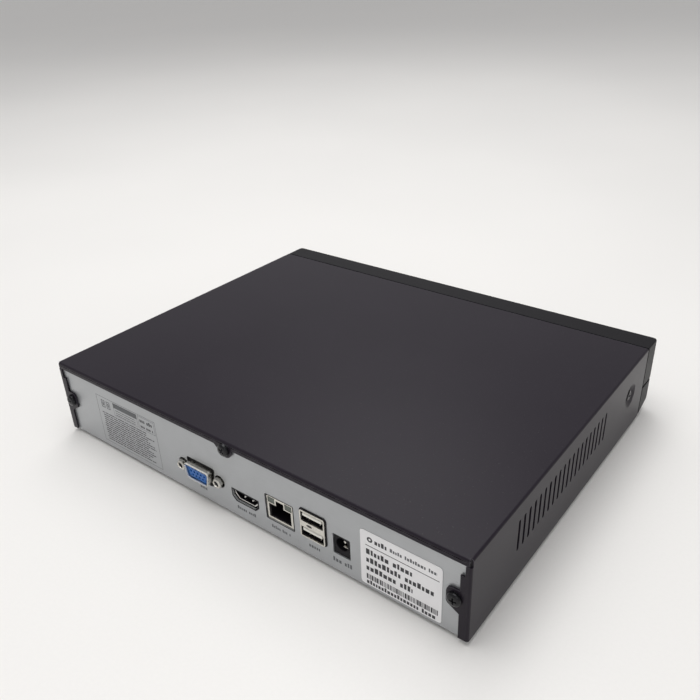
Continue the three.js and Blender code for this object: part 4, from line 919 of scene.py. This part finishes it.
fixings = bmesh.new()
for x, y in ((low.x + 4.4, high.y - 4.4), (low.x + 4.4, low.y + 4.4), (low.x + 4.2, spindle.y),
             (high.x - 5, high.y - 5), (high.x - 5, low.y + 5)):
    turned(fixings, "z", (x, y, lid_top), [(1.0, 0.02), (2.5, 0.02), (2.6, 0.2), (2.3, 0.45), (1.2, 0.45),
                                           (1.0, 0.3)], 30, closed=True)
    turned(fixings, "z", (x, y, lid_top), rod(1.05, 0.0, 0.12), 6)
turned(fixings, "z", hub, [(0, -0.28), (3.4, -0.28), (3.6, -0.1), (3.2, 0.05), (0, 0.05)], 32)
turned(fixings, "z", (high.x - 12, high.y - 22, high.z), [(0.8, -0.1), (2.2, -0.1), (2.2, 0.06), (0.8, 0.06)],
       24, closed=True)
piece("disk_cover_fixings", fixings, "nickel_plate")

x0, x1, y0, y1 = -33, 27, -66, -8
face = high.z + 0.08
piece("disk_sticker", solid(prism, "z", rectangle(x0, x1, y0, y1, 2.5), high.z - 0.02, face), "label_film")
ink = bmesh.new()
frame_lines(ink, "z", x0 + 2, x1 - 2, y0 + 2, y1 - 2, 0.25, face, 1)
for row in range(7):
    small_print(ink, "z", x0 + 5, x1 - random.uniform(6, 24), y1 - 9 - row * 3.6, 1.9, face, row % 2, (4, 9))
bar_code(ink, "z", x0 + 5, x1 - 8, y0 + 12, y0 + 20, face, (0.3, 0.3, 0.55, 0.8), (0.3, 0.4, 0.6))
small_print(ink, "z", x0 + 5, x1 - 18, y0 + 7, 1.7, face, 0, (9, 12))
piece("disk_sticker_print", ink, "label_film", [INK, FAINT_INK])


# ---- leads inside the case
def smooth_path(points, steps):
    """A centripetal Catmull-Rom curve through the points."""
    points = [Vector(p) for p in points]
    knots = [2 * points[0] - points[1], *points, 2 * points[-1] - points[-2]]
    line = []
    for p0, p1, p2, p3 in zip(knots, knots[1:], knots[2:], knots[3:]):
        t0 = 0.0
        t1 = t0 + math.sqrt((p1 - p0).length)
        t2 = t1 + math.sqrt((p2 - p1).length)
        t3 = t2 + math.sqrt((p3 - p2).length)
        for step in range(steps):
            t = t1 + (t2 - t1) * step / steps
            a1 = p0.lerp(p1, (t - t0) / (t1 - t0))
            a2 = p1.lerp(p2, (t - t1) / (t2 - t1))
            a3 = p2.lerp(p3, (t - t2) / (t3 - t2))
            b1 = a1.lerp(a2, (t - t0) / (t2 - t0))
            b2 = a2.lerp(a3, (t - t1) / (t3 - t1))
            line.append(b1.lerp(b2, (t - t1) / (t2 - t1)))
    return line + [points[-1]]


def offset_path(line, sideways, upwards, twist=0.0):
    """The line moved off its middle by an amount that may turn slowly round it, for one wire of a bundle."""
    moved, side = [], None
    for i, point in enumerate(line):
        along = (line[min(i + 1, len(line) - 1)] - line[max(i - 1, 0)]).normalized()
        if side is None:
            side = along.cross(Vector((0, 0, 1)))
            side = side.normalized() if side.length > 0.1 else Vector((0, 1, 0))
        side = (side - along * side.dot(along)).normalized()
        other = along.cross(side)
        turn = math.radians(twist) * i
        u = sideways * math.cos(turn) - upwards * math.sin(turn)
        v = sideways * math.sin(turn) + upwards * math.cos(turn)
        moved.append(point + u * side + v * other)
    return moved


def wires_round(line, reach, radius, twist, sides, colours):
    """Four wires laid round a line, in a number of colours."""
    wires = bmesh.new()
    for k in range(4):
        angle = math.radians(45 + 90 * k)
        path = offset_path(line, reach * math.cos(angle), reach * math.sin(angle), twist)
        tube(wires, path, radius, sides, k % colours)
    return wires


PATH_STEPS = 10
socket, socket_top = centre("disk_data_socket"), corners("disk_data_socket")[1].z
disk_x, plug_z = corners("disk_base")[0].x, corners("disk_base")[0].z + 2.5
line = smooth_path([(socket.x + x, socket.y + y, z) for x, y, z in (
    (0, 0, socket_top + 7), (0, -1, socket_top + 12), (-8, -8, socket_top + 16), (-20, -20, socket_top + 12),
    (-26, -32, socket_top), (-24, -41, plug_z + 6), (-16, -46, plug_z + 1), (-8, -46.5, plug_z))], PATH_STEPS)
cable = bmesh.new()
for shift in (-1.3, -0.45, 0.45, 1.3):
    tube(cable, offset_path(line, shift, 0), 0.62, 12)
piece("data_cable", cable, "red_sleeve", replaces=["disk_data_lead"])
plugs = solid(centred, socket, 6, 3, socket_top + 0.2, socket_top + 6.4, chamfer=0.5)
centred(plugs, socket, 3.6, 2.2, socket_top + 6, socket_top + 9, chamfer=0.6)
for i in range(4):
    z = socket_top + 1.4 + i * 1.1
    block(plugs, socket.x - 4.6, socket.x + 4.6, socket.y + 2.7, socket.y + 3.25, z, z + 0.5, chamfer=0.15)
y = socket.y - 46.5
block(plugs, disk_x - 9.5, disk_x - 0.3, y - 6, y + 6, plug_z - 3, plug_z + 3, chamfer=0.5)
block(plugs, disk_x - 16, disk_x - 9, y - 4, y + 4, plug_z - 2.2, plug_z + 2.2, chamfer=0.6)
for i in range(4):
    x = disk_x - 8.4 + i * 1.3
    block(plugs, x, x + 0.6, y - 4.6, y + 4.6, plug_z + 2.8, plug_z + 3.3, chamfer=0.15)
piece("data_plugs", plugs, "red_sleeve", [FINISH["chip_plastic"]])

header, header_top = centre("disk_power_header"), corners("disk_power_header")[1].z
line = smooth_path([(header.x + x, header.y + y, z) for x, y, z in (
    (0, 0, header_top + 3), (-1, -1, header_top + 8), (-9, -6, header_top + 17), (-24, -20, header_top + 17),
    (-38, -40, header_top + 8), (-45, -58, plug_z + 5), (-38, -68, plug_z + 1), (-28, -69, plug_z),
)], PATH_STEPS)
piece("power_wires", wires_round(line, 1.12, 0.76, 3.5, 12, 4), "chip_plastic",
      [YELLOW_WIRE, FINISH["chip_plastic"], FINISH["red_sleeve"], FINISH["chip_plastic"]],
      replaces=["disk_power_lead"])
plugs = solid(centred, header, 5.2, 2.4, header_top + 0.2, header_top + 5, chamfer=0.4)
y = header.y - 68.5
block(plugs, disk_x - 7, disk_x - 0.3, y - 11.5, y + 11.5, plug_z - 3, plug_z + 3, chamfer=0.5)
block(plugs, disk_x - 15, disk_x - 6.5, y - 9.4, y + 9.4, plug_z - 2.4, plug_z + 2.4, chamfer=0.7)
for i in range(5):
    x = disk_x - 14 + i * 1.5
    block(plugs, x, x + 0.6, y - 7.6, y + 7.6, plug_z + 2.2, plug_z + 2.75, chamfer=0.15)
piece("power_plugs", plugs, "chip_plastic")

lead_end = corners("indicator_lead")[1].y
front, ribbon_z = board_high.y + 2.6, lens_z + 1.3
line = smooth_path([(x, front + y, z) for x, y, z in (
    (-98, 0, ribbon_z), (-98, 7.8, ribbon_z), (-108, 21.6, 8.5), (-112, 47.6, 5.7), (-112, 77.6, 5.7),
    (-104, 105.6, 8.5), (-90, 121.6, board_top + 6), (-76, 127.6, board_top + 9), (-72, 128.6, board_top + 7),
)], PATH_STEPS)
piece("indicator_wires", wires_round(line, 0.72, 0.5, 2.5, 10, 3), "white_moulding",
      [FINISH["white_moulding"], FINISH["chip_plastic"], FINISH["red_sleeve"]], replaces=["indicator_lead"])
plugs = solid(block, -102.5, -93.5, board_high.y + 0.2, board_high.y + 4.4, ribbon_z - 2.4, ribbon_z + 2.4,
              chamfer=0.3)
block(plugs, -75, -69, lead_end - 8, lead_end, board_top + 0.2, board_top + 7.2, chamfer=0.3)
for x in (-101.4, -99.4, -97.4, -95.4):
    block(plugs, x, x + 1.2, board_high.y + 4.2, board_high.y + 4.7, ribbon_z - 1.6, ribbon_z + 1.6,
          chamfer=0.15)
piece("indicator_plugs", plugs, "white_moulding")


# ---- print on the rear panel and the label
ink = bmesh.new()
frame_lines(ink, "y", 50.2, 97.9, 5.0, 34.2, 0.22, panel_y, 1)
mark(ink, "y", 83.9, 64.6, 30.4, 33.4, panel_y, 1)
frame_lines(ink, "y", 51.2, 63.6, 25.6, 33.4, 0.22, panel_y, 1)
frame_lines(ink, "y", 64.6, 83.9, 25.6, 33.4, 0.18, panel_y, 1)
for x in (88.4, 92.6):
    frame_lines(ink, "y", x - 1.5, x + 1.5, 27.6, 32.2, 0.5, panel_y, 1)
    mark(ink, "y", x - 0.4, x + 0.4, 28.8, 31.0, panel_y)
for z in (28.9, 27.5, 26.2):
    faint_rows(ink, "y", 82.6, 66.4, z, 0.42, panel_y, 1)
for z, height, start, end in ((29.9, 2.2, 62.4, 52.6), (26.6, 1.7, 62.4, 52.8)):
    small_print(ink, "y", start, end, z, height, panel_y, 0, (2, 3))
for row in range(13):
    start, end = 94.9 - random.uniform(0, 1), 52.8 + random.uniform(0, 7)
    faint_rows(ink, "y", start, end, 23.9 - row * 1.42, 0.56, panel_y, 0)
for start, end, z, height in ((21.6, 16.8, 7.4, 1.9), (-3.9, -15.7, 6.9, 1.9), (-25.8, -36.9, 6.7, 1.8),
                              (-47.9, -54.0, 7.2, 2.1), (-61.4, -71.4, 6.8, 2.4)):
    small_print(ink, "y", start, end, z, height, panel_y, 1, (3, 5))
piece("panel_print", ink, "silver_steel", [INK, FAINT_INK])

label_low, label_high = corners("rating_label")
label_y = label_high.y
MARGIN_X = -79.3
ink = solid(turned, "y", (label_high.x - 4.8, label_y, 29.0),
            [(0.55, -INK_HALF), (1.35, -INK_HALF), (1.35, INK_HALF), (0.55, INK_HALF)], 28, closed=True)
small_print(ink, "y", label_high.x - 7.2, label_high.x - 13.4, 27.8, 2.5, label_y, 0, (5, 5))
small_print(ink, "y", label_high.x - 14.6, label_low.x + 2.4, 28.0, 1.9, label_y, 1, (5, 8))
mark(ink, "y", label_high.x - 2.6, label_low.x + 1.3, 25.4, 25.75, label_y)
for end, z in ((-101.5, 20.9), (-111.8, 16.5), (-101.8, 12.1)):
    small_print(ink, "y", MARGIN_X, end, z, 2.9, label_y, 0, (5, 9))
bar_code(ink, "y", MARGIN_X, -113.5, 7.2, 10.0, label_y, (0.3, 0.3, 0.5, 0.8), (0.22, 0.26, 0.42))
small_print(ink, "y", MARGIN_X, -112.6, 4.5, 2.3, label_y, 0, (17, 17))
piece("label_print", ink, "label_film", [INK, FAINT_INK])


# ---- floor and light
FLOOR_HALF, FLOOR_TOP = 9000, -0.05  # in mm, a hair below the feet


def add_floor():
    """The pale surface the recorder stands on."""
    bm = solid(prism, "z", rectangle(-FLOOR_HALF, FLOOR_HALF, -FLOOR_HALF, FLOOR_HALF), -20, FLOOR_TOP)
    mesh = bpy.data.meshes.new("floor")
    bm.to_mesh(mesh)
    bm.free()
    mesh.materials.append(finish("floor", 0xEDEBE8, 0.55, mottle=(0.012, 400), grain=(0.01, 1.5), bump=0.02,
                                 wear=PLAIN_EDGES))
    floor = bpy.data.objects.new("floor", mesh)
    bpy.context.scene.collection.objects.link(floor)


def add_softbox(name, at, towards, size, power):
    """A round soft light, in metres and watts, turned towards a place."""
    data = bpy.data.lights.new(name, "AREA")
    data.shape, data.size, data.energy = "DISK", size, power
    lamp = bpy.data.objects.new(name, data)
    lamp.location = at
    lamp.rotation_mode = "QUATERNION"
    lamp.rotation_quaternion = (Vector(towards) - Vector(at)).to_track_quat("-Z", "Y")
    bpy.context.scene.collection.objects.link(lamp)


def add_sky(colour, strength):
    """An even light from all round."""
    world = bpy.data.worlds.new("studio")
    world.use_nodes = True
    background = world.node_tree.nodes["Background"]
    background.inputs["Color"].default_value = (*colour, 1)
    background.inputs["Strength"].default_value = strength
    bpy.context.scene.world = world


add_floor()
add_softbox("softbox_top", (0.1, 0.1, 1.3), (0, 0, 0), 1.1, 9.5)
add_softbox("softbox_rear", (-0.9, 1.5, 0.9), (0, 0, 0.02), 0.9, 2.4)
add_softbox("softbox_front", (0.55, -0.75, 1.2), (0, 0, 0.03), 0.8, 3.6)
add_sky((0.94, 0.94, 0.95), 0.52)
bpy.context.scene.view_settings.view_transform = "Standard"
